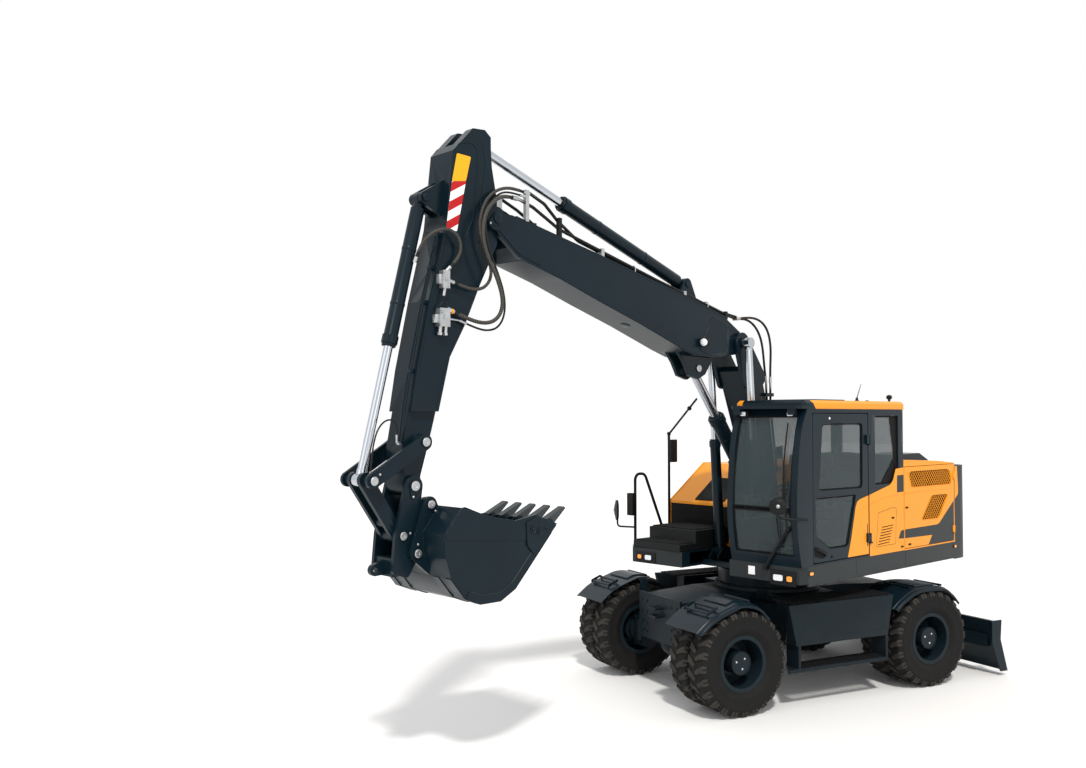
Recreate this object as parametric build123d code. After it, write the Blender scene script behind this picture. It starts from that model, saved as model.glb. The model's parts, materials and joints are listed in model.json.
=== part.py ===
from build123d import *
import os
from math import hypot, radians, tan

# Wheeled excavator with a two-piece boom, in millimetres.
# The frame is the upper structure's: +X forward along the boom, +Y to the machine's left,
# +Z up, origin on the ground under the slew axis. The undercarriage stands turned
# by SLEW_DEG to the right of the upper structure.

# ---------------------------------------------------------------- driving dimensions
SLEW_DEG = 15.5

# undercarriage
WHEELBASE = 2600.0
TYRE_R = 527.0
TYRE_W = 278.0
TREAD_W = 236.0
OVERALL_W = 2500.0
TWIN_PITCH = 320.0
RIM_W = 190.0
BEAD_R = 254.0
FLANGE_R = 286.0
HUB_R = 118.0
SPINDLE_R = 60.0
WHEEL_MID = OVERALL_W / 2 - TYRE_W / 2 - TWIN_PITCH / 2    # middle plane of a twin pair
KINGPIN_Y = WHEEL_MID - 271
KINGPIN_R = 40.0
CHASSIS_W = 760.0
CHASSIS_TOP = 1030.0
CHASSIS_BOTTOM = 600.0
CHASSIS_FRONT = WHEELBASE / 2 + 200
AXLE_SEAT = 740.0
AXLE_BOWL_R = 165.0
CHASSIS_REAR = WHEELBASE / 2 + 340
FENDER_T = 12.0
STEP_TOP = 1063.0
STEP_BOTTOM = 640.0
BLADE_W = 2500.0
TOW_PIN_R = 20.0
STEP_FRONT = WHEELBASE / 2 - 556
STEP_REAR = -WHEELBASE / 2 + 600

# slewing bearing
RING_R = 560.0
RING_TOP = 1255.0
SPIGOT_R = 440.0
DECK_BOTTOM = 1310.0
DECK_TOP = 1480.0
DECK_HALF_W = 1240.0
DECK_REAR = -2110.0
HOUSING_REAR = -2105.0
LIFT_HOLE_X = -2320.0
LIFT_HOLE_Y = 500.0
LIFT_HOLE_R = 18.0
LIFT_HOLE_DEEP = 90.0

# cab
CAB_LEFT = DECK_HALF_W
LIFT_Y = 265.0
CAB_RIGHT = LIFT_Y + 115     # clear of the left lift cylinder
CAB_MID = (CAB_LEFT + CAB_RIGHT) / 2
CAB_REAR = -870.0
CAB_PILLAR = 70.0
CAB_HINGE = (-120.0, CAB_LEFT + 16)
CAB_HINGE_Z = (1640.0, 2700.0)
ROOF_BOTTOM = 3075.0
ROOF_TOP = 3165.0

# fits
FIT = 0.05          # radial clearance of a pin or shaft in its hole
SIDE_GAP = 5.0      # gap between the faces of pieces that turn past each other
SEAT_GAP = 0.3      # gap between curved faces that do not touch

# boom, arm and bucket
BOOM_HALF_W = 200.0
LOWER_HALF_W = 180.0
ARM_HALF_W = 160.0
TIP_HALF_W = 116.0
BOX_WALL = 14.0
BUCKET_HALF_W = 500.0
BUCKET_WALL = 20.0
TOOTH_PITCH = 196.0
TOOTH_COUNT = 5

# pin centres in the boom plane (x, z)
FOOT_PIN = (20.0, 1980.0)
KNEE_PIN = (700.0, 3810.0)
HOOK_PIN = (1358.0, 3512.0)
ADJUST_FOOT = (272.0, 2140.0)
LIFT_FOOT = (535.0, 1450.0)
ARM_CYL_FOOT = (1520.0, 4410.0)
ARM_PIN = (4274.0, 4735.0)
ARM_CYL_EYE = (4420.0, 5430.0)
BUCKET_CYL_FOOT = (4947.0, 4842.0)
ROCKER_PIN = (5020.0, 2788.0)
LINK_PIN = (5522.0, 2488.0)
TIP_PIN = (5103.0, 2429.0)
COUPLER_PIN = (5214.0, 2030.0)
BUCKET_PIN_UPPER = (4975.0, 2275.0)
BUCKET_PIN_LOWER = (5105.0, 1885.0)

# cylinder sizes: barrel radius, rod radius, half width of the eyes, gland distance from the foot,
# and the stroke left when the rod goes in
CYLINDERS = {
    "lift": dict(barrel=58.0, rod=40.0, half=43.0, gland=1290.0, stroke_in=830.0),
    "adjust": dict(barrel=82.0, rod=50.0, half=48.0, gland=1100.0, stroke_in=270.0),
    "arm": dict(barrel=68.0, rod=42.0, half=50.0, gland=1900.0, stroke_in=680.0),
    "bucket": dict(barrel=60.0, rod=38.0, half=44.0, gland=1300.0, stroke_in=820.0),
    "blade": dict(barrel=48.0, rod=28.0, half=50.0, gland=350.0, stroke_in=145.0),
}

# blade, in the undercarriage frame (x, z)
BLADE_PIN = (-CHASSIS_REAR - 110, 480.0)
BLADE_CYL_FOOT = (-CHASSIS_REAR - 60, 880.0)
BLADE_CYL_EYE = (-CHASSIS_REAR - 550, 570.0)
BLADE_CYL_Y = 250.0
BLADE_ARM_Y = 250.0


# pipes on top of the upper boom, left side (x, y, z): a lower one and an upper one
BOOM_PIPE_R = 15.0
BOOM_PIPES = [
    [(790, 165, 4098), (1040, 165, 4130), (1675, 165, 4287), (2113, 165, 4390), (3487, 172, 4740),
     (3689, 188, 4829), (3830, 192, 4895), (4011, 192, 4949)],
    [(778, 125, 4092), (1040, 125, 4132), (1675, 125, 4287), (2113, 125, 4390), (3200, 130, 4668),
     (3500, 160, 4822), (3690, 192, 4945), (3878, 192, 5020)],
]

# free hoses: radius and route, in the machine frame (x, y, z)
HOSES = {
    "hose_arm_feed": (16.0, [
        (4081, 192, 4949), (4183, 207, 4947), (4286, 240, 4908), (4384, 268, 4838), (4465, 288, 4742), (4503, 300, 4612),
        (4497, 306, 4480), (4450, 310, 4355), (4378, 314, 4238), (4320, 314, 4115), (4284, 310, 3998), (4300, 300, 3885),
        (4370, 279, 3812), (4475, 250, 3798), (4600, 220, 3830), (4735, 200, 3880),
    ]),
    "hose_arm_return": (13.0, [
        (3948, 192, 5020), (4060, 194, 5033), (4178, 196, 5021), (4292, 199, 4972), (4386, 206, 4888), (4448, 216, 4775),
        (4480, 222, 4650), (4460, 226, 4530), (4412, 228, 4418), (4352, 229, 4300), (4353, 228, 4190), (4425, 222, 4105),
        (4535, 210, 4085), (4640, 202, 4105), (4735, 200, 4130),
    ]),
    "hose_bucket_cylinder": (13.0, [
        (4775, 200, 4258), (4712, 202, 4318), (4668, 208, 4398), (4680, 218, 4488), (4745, 226, 4553), (4835, 224, 4575),
        (4925, 205, 4548), (4995, 170, 4490), (5030, 128, 4415), (5045, 95, 4330),
    ]),
    "hose_knee_low": (13.0, [
        (708, 125, 4084), (615, 126, 4092), (520, 128, 4082), (430, 131, 4045), (350, 134, 3980), (290, 136, 3890),
        (255, 136, 3785), (235, 134, 3675), (213, 130, 3565), (190, 125, 3460),
    ]),
    "hose_knee_high": (13.0, [
        (720, 165, 4088), (620, 166, 4100), (515, 167, 4108), (405, 168, 4100), (300, 169, 4065), (215, 170, 3995),
        (165, 170, 3895), (145, 170, 3780), (145, 168, 3665), (150, 166, 3550), (150, 165, 3450),
    ]),
    "hose_coupler": (7.0, [
        (5228, 84, 2850), (5232, 88, 2910), (5258, 95, 2958), (5310, 103, 2976), (5374, 110, 2955), (5424, 116, 2905),
        (5456, 120, 2842), (5476, 123, 2772), (5488, 125, 2700), (5496, 125, 2627), (5501, 125, 2560),
    ]),
    "hose_arm_drain": (9.0, [
        (3990, 192, 4984), (4100, 192, 4995), (4212, 195, 4975), (4310, 208, 4905), (4382, 226, 4815), (4424, 243, 4702),
        (4432, 255, 4580), (4405, 261, 4458), (4355, 265, 4342), (4296, 266, 4225), (4246, 265, 4105), (4218, 261, 3985),
        (4228, 256, 3862), (4290, 246, 3768), (4392, 232, 3738), (4500, 216, 3754), (4600, 200, 3790),
    ]),
}


# ---------------------------------------------------------------- helpers
def under(shape):
    """Turn a piece drawn along the chassis into the machine frame."""
    return Rot(0, 0, -SLEW_DEG) * shape


def side_face(points):
    """A closed outline in the XZ plane, corners (x, z)."""
    return Plane.XZ * make_face(Polyline(*points, close=True))


def prism(points, y_low, y_high):
    """Side outline, extruded from y_low to y_high."""
    return Pos(0, y_high, 0) * extrude(side_face(points), amount=y_high - y_low)


def box(x0, x1, y0, y1, z0, z1):
    """A box between two corners."""
    centre = Pos((x0 + x1) / 2, (y0 + y1) / 2, (z0 + z1) / 2)
    return centre * Box(abs(x1 - x0), abs(y1 - y0), abs(z1 - z0))


def y_pin(centre, radius, y_low, y_high):
    """A round bar along Y through (x, z)."""
    bar = Cylinder(radius, y_high - y_low, rotation=(90, 0, 0))
    return Pos(centre[0], (y_low + y_high) / 2, centre[1]) * bar


def z_pin(x, y, radius, z0, z1):
    """An upright round bar."""
    return Pos(x, y, (z0 + z1) / 2) * Cylinder(radius, z1 - z0)


def bar(start, end, radius):
    """A round bar between two points."""
    a, b = Vector(*start), Vector(*end)
    length = (b - a).length
    place = Plane(origin=a, z_dir=(b - a).normalized())
    return place.location * Cylinder(radius, length, align=(Align.CENTER, Align.CENTER, Align.MIN))


def route(points, radii):
    """Straight runs joined by tangent arcs."""
    return FilletPolyline(*points, radius=radii)


def tube(points, radius, bend):
    """A bent steel pipe with the same bend at each corner, or less where its runs are short."""
    radii = [min(bend, r) for r in hose_radii(points)]
    path = route(points, radii)
    start = Plane(origin=points[0], z_dir=path % 0)
    return sweep(start * Circle(radius), path=path)


def hose_radii(points):
    """The largest arc at each corner that leaves a tenth of the shorter run straight."""
    radii = []
    for a, b, c in zip(points, points[1:], points[2:]):
        before, after = Vector(*b) - Vector(*a), Vector(*c) - Vector(*b)
        shorter = min(before.length, after.length)
        radii.append(0.45 * shorter / tan(radians(before.get_angle(after) / 2)))
    return radii


def hose(name):
    """One free hose, along its route with large arcs."""
    radius, points = HOSES[name]
    radii = hose_radii(points)
    path = route(points, radii)
    print(name, "length", round(path.length), "diameter", 2 * radius, "radii", [round(r) for r in radii])
    start = Plane(origin=points[0], z_dir=path % 0)
    return sweep(start * Circle(radius), path=path)


def ferrule(name, end, reach=70.0):
    """The crimped fitting that a hose's start (0) or finish (-1) meets face to face."""
    radius, points = HOSES[name]
    tip, beside = points[end], points[1 if end == 0 else -2]
    away = (Vector(*tip) - Vector(*beside)).normalized() * reach
    finish = Vector(*tip) + away
    return bar(tip, (finish.X, finish.Y, finish.Z), radius * 1.3)


def both(shape):
    """A piece and its copy on the other side of the XZ plane."""
    return [shape, mirror(shape, about=Plane.XZ)]


def fuse(*parts):
    """One solid from touching pieces."""
    flat = []
    for part in parts:
        flat += part if isinstance(part, list) else [part]
    joined = flat[0]
    for part in flat[1:]:
        joined = joined + part
    return joined


def save(name, *parts):
    """Write the pieces of one node."""
    flat = []
    for part in parts:
        flat += part if isinstance(part, list) else [part]
    solids = []
    for part in flat:
        solids += list(part.solids())
    export_step(solids[0] if len(solids) == 1 else Compound(solids), f"parts/{name}.step")


def hull_plate(circles, y_low, y_high):
    """A plate whose outline wraps round circles (x, z, radius), like a link or a lug."""
    edges = []
    for x, z, radius in circles:
        edges += (Pos(x, z) * Circle(radius)).edges()
    outline = Plane.XZ * make_hull(edges)
    return Pos(0, y_high, 0) * extrude(outline, amount=y_high - y_low)


def bored(shape, centre, radius, half=600.0):
    """Drill a running fit for a pin of this radius."""
    return shape - y_pin(centre, radius + FIT, -half, half)


# ---------------------------------------------------------------- cylinders
def cylinder_pair(kind, foot, eye, y=0.0, pin_r=None):
    """Barrel and rod of one hydraulic cylinder, from its foot pin to its rod eye."""
    size = CYLINDERS[kind]
    pin_r = pin_r or size["rod"] * 0.9
    length = hypot(eye[0] - foot[0], eye[1] - foot[1])
    along = Vector(eye[0] - foot[0], 0, eye[1] - foot[1]).normalized()
    place = Plane(origin=(foot[0], y, foot[1]), x_dir=Vector(0, 1, 0).cross(along), z_dir=along)
    up = (Align.CENTER, Align.CENTER, Align.MIN)
    eye_r = pin_r * 1.65
    half = size["half"]
    gland = size["gland"]
    rod_r = size["rod"]
    foot_eye = Cylinder(eye_r, 2 * half, rotation=(90, 0, 0))
    tube_start = eye_r + 34
    foot_eye = foot_eye + Cylinder(half - 3, tube_start + 5, align=up)
    tube = Pos(0, 0, tube_start) * Cylinder(size["barrel"], gland - tube_start, align=up)
    collar = Pos(0, 0, gland - 90) * Cylinder(size["barrel"] * 1.14, 70, align=up)
    barrel = foot_eye + tube + collar
    bottom = eye_r + 45
    barrel = barrel - Pos(0, 0, bottom) * Cylinder(rod_r + FIT, length, align=up)
    barrel = barrel - Cylinder(pin_r + FIT, 4 * half, rotation=(90, 0, 0))
    inside = bottom + size["stroke_in"] + 10
    shank = Pos(0, 0, inside) * Cylinder(rod_r, length - inside - eye_r * 0.6, align=up)
    rod_eye = Pos(0, 0, length) * Cylinder(eye_r, 2 * half, rotation=(90, 0, 0))
    neck = Pos(0, 0, length - eye_r - 30) * Cylinder(min(rod_r * 1.2, half - 2), 50, align=up)
    rod = shank + rod_eye + neck
    return place.location * barrel, place.location * rod


# ---------------------------------------------------------------- wheels
def tyre(y_centre):
    """One tyre of a twin pair, about the axle line, with a shallow tread groove pattern left plain."""
    half_bead = RIM_W / 2
    profile = [
        (BEAD_R, half_bead), (FLANGE_R + 2, half_bead), (FLANGE_R + 34, TYRE_W / 2 - 8),
        (400, TYRE_W / 2), (480, TYRE_W / 2 - 6), (TYRE_R - 6, TREAD_W / 2), (TYRE_R, TREAD_W / 2 - 14),
    ]
    points = [(r, w) for r, w in profile] + [(r, -w) for r, w in reversed(profile)]
    ring = revolve(Plane.XY * make_face(Polyline(*points, close=True)), Axis.Y)
    return Pos(0, y_centre, 0) * ring


def rim(sign):
    """Twin rims, both discs and the hub of one side, about the axle line."""
    mid = WHEEL_MID
    outer = mid + TWIN_PITCH / 2
    inner = mid - TWIN_PITCH / 2
    wall = 12.0
    piece = None
    for centre in (outer, inner):
        barrel = y_pin((0, 0), BEAD_R, centre - RIM_W / 2, centre + RIM_W / 2)
        for edge in (-1, 1):
            at = centre + edge * RIM_W / 2
            low, high = sorted((at, at + edge * 12))
            barrel = barrel + y_pin((0, 0), FLANGE_R, low, high)
        barrel = barrel - y_pin((0, 0), BEAD_R - wall, centre - RIM_W / 2 - 20, centre + RIM_W / 2 + 20)
        piece = barrel if piece is None else piece + barrel
    disc = y_pin((0, 0), BEAD_R - 4, mid - 14, mid + 14)
    reach = inner + RIM_W / 2
    spacer = y_pin((0, 0), BEAD_R, reach, outer - RIM_W / 2) - y_pin((0, 0), BEAD_R - wall, reach - 1, outer)
    hub = y_pin((0, 0), 150, mid - 180, mid + 60)
    cap = y_pin((0, 0), HUB_R, mid + 60, outer + 70)
    piece = piece + disc + spacer + hub + cap
    piece = piece - y_pin((0, 0), SPINDLE_R + FIT, 0, mid + 90)
    return piece if sign > 0 else mirror(piece, about=Plane.XZ)


def wheels():
    """Four twin wheels: tyres and rims are nodes of their own."""
    sides = (("left", 1), ("right", -1))
    for end, x in (("front", WHEELBASE / 2), ("rear", -WHEELBASE / 2)):
        for side, sign in sides:
            place = Pos(x, 0, TYRE_R)
            mid = WHEEL_MID
            pair = [tyre(sign * (mid - TWIN_PITCH / 2)), tyre(sign * (mid + TWIN_PITCH / 2))]
            save(f"tyres_{end}_{side}", [under(place * t) for t in pair])
            save(f"rims_{end}_{side}", under(place * rim(sign)))


def spindle(sign):
    """The shaft a twin wheel turns on, from the knuckle outwards."""
    mid = WHEEL_MID
    low, high = sorted((sign * (mid - 186), sign * (mid + 60)))
    shaft = y_pin((0, 0), SPINDLE_R, low, high)
    face = sorted((sign * (mid - 230), sign * (mid - 186)))
    return shaft + y_pin((0, 0), 120, face[0], face[1])


# ---------------------------------------------------------------- axles and steering
def front_axle():
    """Steered drive axle: banjo housing with a fork at each end for the kingpins."""
    x, z = WHEELBASE / 2, TYRE_R
    beam = Pos(x, 0, z) * y_pin((0, 0), 92, 160 - KINGPIN_Y, KINGPIN_Y - 160)
    bowl = Pos(x, 0, z) * Sphere(AXLE_BOWL_R)
    nose = Pos(x - 190, 0, z) * Cylinder(70, 160, rotation=(0, 90, 0))
    pad = box(x - 110, x + 110, -300, 300, z + 60, AXLE_SEAT)
    body = beam + bowl + nose + pad
    for sign in (1, -1):
        y_in, y_out = sorted((sign * (KINGPIN_Y - 180), sign * (KINGPIN_Y + 50)))
        back = sorted((sign * (KINGPIN_Y - 200), sign * (KINGPIN_Y - 120)))
        body = body + box(x - 70, x + 70, back[0], back[1], z - 165, z + 165)
        for low in (z - 165, z + 125):
            body = body + box(x - 70, x + 70, y_in, y_out, low, low + 40)
        body = body - z_pin(x, sign * KINGPIN_Y, KINGPIN_R + FIT, z - 300, z + 300)
    return body


def knuckle(sign):
    """Steering knuckle: kingpin, hub carrier and steering arm."""
    x, z = WHEELBASE / 2, TYRE_R
    mid = WHEEL_MID
    kingpin = z_pin(x, sign * KINGPIN_Y, KINGPIN_R, z - 168, z + 168)
    body = z_pin(x, sign * KINGPIN_Y, 78, z - 125 + SIDE_GAP, z + 125 - SIDE_GAP)
    face = sorted((sign * KINGPIN_Y, sign * (mid - 186)))
    hub = Pos(x, 0, z) * y_pin((0, 0), 92, face[0], face[1])
    return kingpin + body + hub + Pos(x, 0, z) * spindle(sign)


def rear_axle():
    """Rigid drive axle with its spindles."""
    x, z = -WHEELBASE / 2, TYRE_R
    mid = WHEEL_MID
    beam = Pos(x, 0, z) * y_pin((0, 0), 100, -(mid - 200), mid - 200)
    bowl = Pos(x, 0, z) * Sphere(AXLE_BOWL_R)
    nose = Pos(x + 190, 0, z) * Cylinder(70, 160, rotation=(0, 90, 0))
    pad = box(x - 110, x + 110, -320, 320, z + 60, AXLE_SEAT)
    shafts = [Pos(x, 0, z) * spindle(sign) for sign in (1, -1)]
    return fuse(beam, bowl, nose, pad, shafts)


def drive_line():
    """Gearbox under the middle of the chassis and the two propeller shafts."""
    z = TYRE_R
    gearbox = box(-260, 260, -200, 200, z - 150, CHASSIS_BOTTOM)
    end = WHEELBASE / 2 - 270
    front = Pos((260 + end) / 2, 0, z) * Cylinder(42, end - 260, rotation=(0, 90, 0))
    rear = Pos(-(260 + end) / 2, 0, z) * Cylinder(42, end - 260, rotation=(0, 90, 0))
    return gearbox + front + rear


# ---------------------------------------------------------------- chassis
def chassis():
    """Welded box frame with end plates, turret and the carriers of the slewing ring."""
    half = CHASSIS_W / 2
    rise = WHEELBASE / 2 - 220
    belly = WHEELBASE / 2 - 340
    outline = [
        (-CHASSIS_REAR, AXLE_SEAT), (-rise, AXLE_SEAT), (-belly, CHASSIS_BOTTOM), (belly, CHASSIS_BOTTOM),
        (rise, AXLE_SEAT), (CHASSIS_FRONT, AXLE_SEAT), (CHASSIS_FRONT, CHASSIS_TOP - 30), (800, CHASSIS_TOP + 20),
        (-800, CHASSIS_TOP + 20), (-CHASSIS_REAR, CHASSIS_TOP - 30),
    ]
    beam = prism(outline, -half, half)
    inner = prism([
        (-CHASSIS_REAR + 40, AXLE_SEAT + 16), (10 - rise, AXLE_SEAT + 16), (10 - belly, CHASSIS_BOTTOM + 16),
        (belly - 10, CHASSIS_BOTTOM + 16), (rise - 10, AXLE_SEAT + 16), (CHASSIS_FRONT - 40, AXLE_SEAT + 16),
        (CHASSIS_FRONT - 40, CHASSIS_TOP - 46),
        (800, CHASSIS_TOP), (-800, CHASSIS_TOP), (-CHASSIS_REAR + 40, CHASSIS_TOP - 46),
    ], -half + 16, half - 16)
    front_plate = prism([
        (CHASSIS_FRONT - 30, 530), (CHASSIS_FRONT, 530), (CHASSIS_FRONT, CHASSIS_TOP), (CHASSIS_FRONT - 30, CHASSIS_TOP),
    ], -400, 400)
    for y in (-300, 300):
        for z in (620, 720):
            hole = Pos(CHASSIS_FRONT - 15, y, z) * Cylinder(13, 60, rotation=(0, 90, 0))
            front_plate = front_plate - hole
    tow = box(CHASSIS_FRONT - 10, CHASSIS_FRONT + 95, -70, 70, 800, 825)
    tow = tow + box(CHASSIS_FRONT - 10, CHASSIS_FRONT + 95, -70, 70, 890, 915)
    tow = tow - z_pin(CHASSIS_FRONT + 50, 0, TOW_PIN_R, 780, 940)
    turret = z_pin(0, 0, RING_R + 40, CHASSIS_TOP - 60, CHASSIS_TOP + 60)
    reach = STEP_FRONT - 364
    outriggers = box(-reach, reach, -700, 700, 900, CHASSIS_TOP + 20)
    body = beam - inner + front_plate + tow + turret + outriggers
    body = body - z_pin(0, 0, RING_R - 150, CHASSIS_BOTTOM + 16, CHASSIS_TOP + 200)
    lugs = []
    x, z = BLADE_PIN
    for y in (BLADE_ARM_Y - 80, BLADE_ARM_Y + 56):
        plate = prism([
            (-CHASSIS_REAR + 2, z - 60), (x - 60, z - 60), (x - 60, z + 60), (BLADE_CYL_FOOT[0] - 60, 830),
            (BLADE_CYL_FOOT[0] - 60, BLADE_CYL_FOOT[1] + 50), (-CHASSIS_REAR + 2, BLADE_CYL_FOOT[1] + 50),
        ], y, y + 24)
        lugs += both(plate)
    pins = both(y_pin(BLADE_PIN, 32, BLADE_ARM_Y - 80, BLADE_ARM_Y + 88))
    pins += both(y_pin(BLADE_CYL_FOOT, 25, BLADE_ARM_Y - 80, BLADE_ARM_Y + 88))
    return fuse(body, lugs, pins)


def slew_ring():
    """Outer race of the slewing bearing, bolted to the turret."""
    ring = z_pin(0, 0, RING_R, CHASSIS_TOP + 60, RING_TOP)
    return ring - z_pin(0, 0, SPIGOT_R + FIT, CHASSIS_TOP, RING_TOP + 10)


def arch(x, points, y0, y1):
    """A bent mudguard strip over a wheel, from outline corners (x, z) on its top face."""
    outer = [(x + px, pz) for px, pz in points]
    inner = []
    for px, pz in reversed(points):
        away = hypot(px, pz - TYRE_R)
        scale = (away - FENDER_T) / away
        inner.append((x + px * scale, TYRE_R + (pz - TYRE_R) * scale))
    return prism(outer + inner, y0, y1)


FRONT_ARCH = [(-330, 968), (-190, 1090), (3, 1135), (150, 1100), (380, 1010), (560, 880)]
REAR_ARCH = [(561, 900), (420, 1000), (199, 1090), (-171, 1090), (-330, 1010), (-437, 905)]


def front_mudguard(sign):
    """Mudguard that steers with the knuckle, on its bracket."""
    x = WHEELBASE / 2
    fork_top = TYRE_R + 165
    guard = arch(x, FRONT_ARCH, KINGPIN_Y - 30, OVERALL_W / 2)
    foot = box(x - 40, x + 40, KINGPIN_Y - 70, KINGPIN_Y + 38, fork_top + SIDE_GAP, fork_top + 20)
    stem = box(x - 40, x + 40, KINGPIN_Y - 70, KINGPIN_Y - 35, fork_top + SIDE_GAP, 1118)
    top = box(x - 40, x + 40, KINGPIN_Y - 70, KINGPIN_Y + 20, 1111, 1123)
    post = z_pin(x, KINGPIN_Y, 36, fork_top + 3, fork_top + 20)
    piece = guard + top + stem + foot + post
    return piece if sign > 0 else mirror(piece, about=Plane.XZ)


def rear_mudguards():
    """Fixed mudguards over the rear wheels, on brackets from the chassis."""
    x = -WHEELBASE / 2
    inner = WHEEL_MID - 323
    guard = arch(x, REAR_ARCH, inner, OVERALL_W / 2)
    stay = box(x - 60, x + 60, CHASSIS_W / 2, inner + 12, 960, 980) + box(x - 60, x + 60, inner, inner + 12, 960, 1080)
    piece = guard + stay
    return both(piece)


def steps(sign):
    """Side box with its step bar, carried by hangers on the chassis."""
    y_out = OVERALL_W / 2
    y_in = y_out - 400
    front, rear = STEP_FRONT, STEP_REAR
    ends = [(front, STEP_TOP), (front - 100, STEP_BOTTOM), (rear + 83, STEP_BOTTOM), (rear, STEP_TOP)]
    nose = [(front, y_out), (front, y_out - 15), (front - 104, y_out - 165), (front - 164, y_out - 250)]
    plan = nose + [(front - 164, y_in), (rear - 60, y_in), (rear - 60, y_out)]
    keep = extrude(make_face(Polyline(*plan, close=True)), amount=2000)
    chest = prism(ends, y_in, y_out) & keep
    room = prism([(front - 184, STEP_TOP - 20), (front - 184, STEP_BOTTOM + 20), (rear + 110, STEP_BOTTOM + 20),
                  (rear + 40, STEP_TOP - 20)], y_in + 20, y_out - 20)
    chest = chest - (room & keep)
    bar_plan = nose + [(rear + 86, y_out - 250), (rear + 86, y_out)]
    lower = Pos(0, 0, 370) * extrude(make_face(Polyline(*bar_plan, close=True)), amount=40)
    lower = lower - box(rear + 126, front - 204, y_out - 210, y_out - 50, 360, 420)
    legs = box(front - 154, front - 124, y_out - 190, y_out, 400, STEP_BOTTOM + 10)
    legs = legs + box(rear + 86, rear + 116, y_out - 210, y_out, 400, STEP_BOTTOM + 10)
    brackets = box(front - 324, front - 244, CHASSIS_W / 2, y_in + 2, 760, 960)
    brackets = brackets + box(rear + 140, rear + 220, CHASSIS_W / 2, y_in + 2, 760, 960)
    piece = chest + lower + legs + brackets
    return piece if sign > 0 else mirror(piece, about=Plane.XZ)


# ---------------------------------------------------------------- dozer blade
BOARD = [  # mouldboard outline from the blade's pin (x, z)
    (-500, 640), (-540, 640), (-580, 480), (-620, 330), (-680, 180), (-740, 50),
    (-705, 50), (-645, 190), (-570, 340), (-520, 480),
]


def blade():
    """Dozer blade: curved mouldboard, end plates, push arms and cylinder lugs."""
    half = BLADE_W / 2
    px, pz = BLADE_PIN
    board = prism([(px + x, z) for x, z in BOARD], -half, half)
    side = [(-490, 640), (-650, 640), (-630, 420), (-740, 50), (-630, 50), (-490, 400)]
    ends = [prism([(px + x, z) for x, z in side], y, y + 20) for y in (-half, half - 20)]
    beam = prism([(px - 490, 330), (px - 580, 330), (px - 580, 470), (px - 490, 470)], -half + 100, half - 100)
    arm = prism([(px, pz - 55), (px - 510, 330), (px - 510, 450), (px, pz + 55)], BLADE_ARM_Y - 30, BLADE_ARM_Y + 30)
    arm = arm + y_pin(BLADE_PIN, 55, BLADE_ARM_Y - 51, BLADE_ARM_Y + 51)
    arms = both(bored(arm, BLADE_PIN, 32))
    lug = hull_plate([(*BLADE_CYL_EYE, 45), (px - 515, 450, 20), (px - 535, 600, 15)], 0, 18)
    lugs = []
    for y in (BLADE_CYL_Y - 74, BLADE_CYL_Y + 56):
        lugs += both(Pos(0, y, 0) * lug)
    return fuse(board, ends, beam, arms, lugs)


# ---------------------------------------------------------------- upper structure
def upper_frame():
    """Revolving frame: deck, boom lugs, lift cylinder brackets and the inner race."""
    plan = [
        (1165, 1210), (1165, 345), (760, 345), (760, -345), (1120, -345), (1150, -1060), (1000, -1200),
        (-1500, -DECK_HALF_W), (DECK_REAR, -DECK_HALF_W), (DECK_REAR, DECK_HALF_W), (1050, DECK_HALF_W),
    ]
    deck = Pos(0, 0, DECK_BOTTOM) * extrude(make_face(Polyline(*plan, close=True)), amount=DECK_TOP - DECK_BOTTOM)
    left_bay = box(DECK_REAR + 20, 1130, 340, DECK_HALF_W - 40, DECK_BOTTOM + 14, DECK_TOP - 14)
    right_bay = box(DECK_REAR + 20, 980, -DECK_HALF_W + 40, -340, DECK_BOTTOM + 14, DECK_TOP - 14)
    deck = deck - left_bay - right_bay
    race = z_pin(0, 0, SPIGOT_R, RING_TOP - 70, DECK_BOTTOM + 4)
    flange = z_pin(0, 0, RING_R - 20, RING_TOP + 5, DECK_BOTTOM + 4)
    body = deck + race + flange
    fx, fz = FOOT_PIN
    lug = hull_plate([(fx, fz, 95), (fx - 560, DECK_TOP - 20, 60), (fx + 260, DECK_TOP - 20, 60)], 156, 194)
    lug = lug & box(-2000, 2000, 0, 400, DECK_TOP - 60, 2300)
    lugs = both(lug)
    foot_pin = y_pin(FOOT_PIN, 45, -212, 212)
    lx, lz = LIFT_FOOT
    feet = []
    for y in (LIFT_Y - 48 - 22, LIFT_Y + 48):
        foot = hull_plate([(lx, lz, 56), (lx - 100, DECK_BOTTOM + 70, 50), (lx + 80, DECK_BOTTOM + 70, 50)], y, y + 22)
        feet += both(foot)
    trough = box(lx - 190, lx + 400, -344, 344, DECK_BOTTOM + 60, DECK_TOP + 200)
    body = body - trough
    lift_pin = y_pin(LIFT_FOOT, 36, LIFT_Y - 70, LIFT_Y + 72)
    return fuse(body, lugs, foot_pin, feet, both(lift_pin))


TAIL_LOW = 1270.0
TAIL_HIGH = 2400.0
TAIL = [  # plan of the counterweight's left rear: x, and how far inside the deck's edge
    (-2240, 0), (-2400, 40), (-2495, 150), (-2535, 340), (-2560, 790), (-2566, DECK_HALF_W),
]


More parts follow.
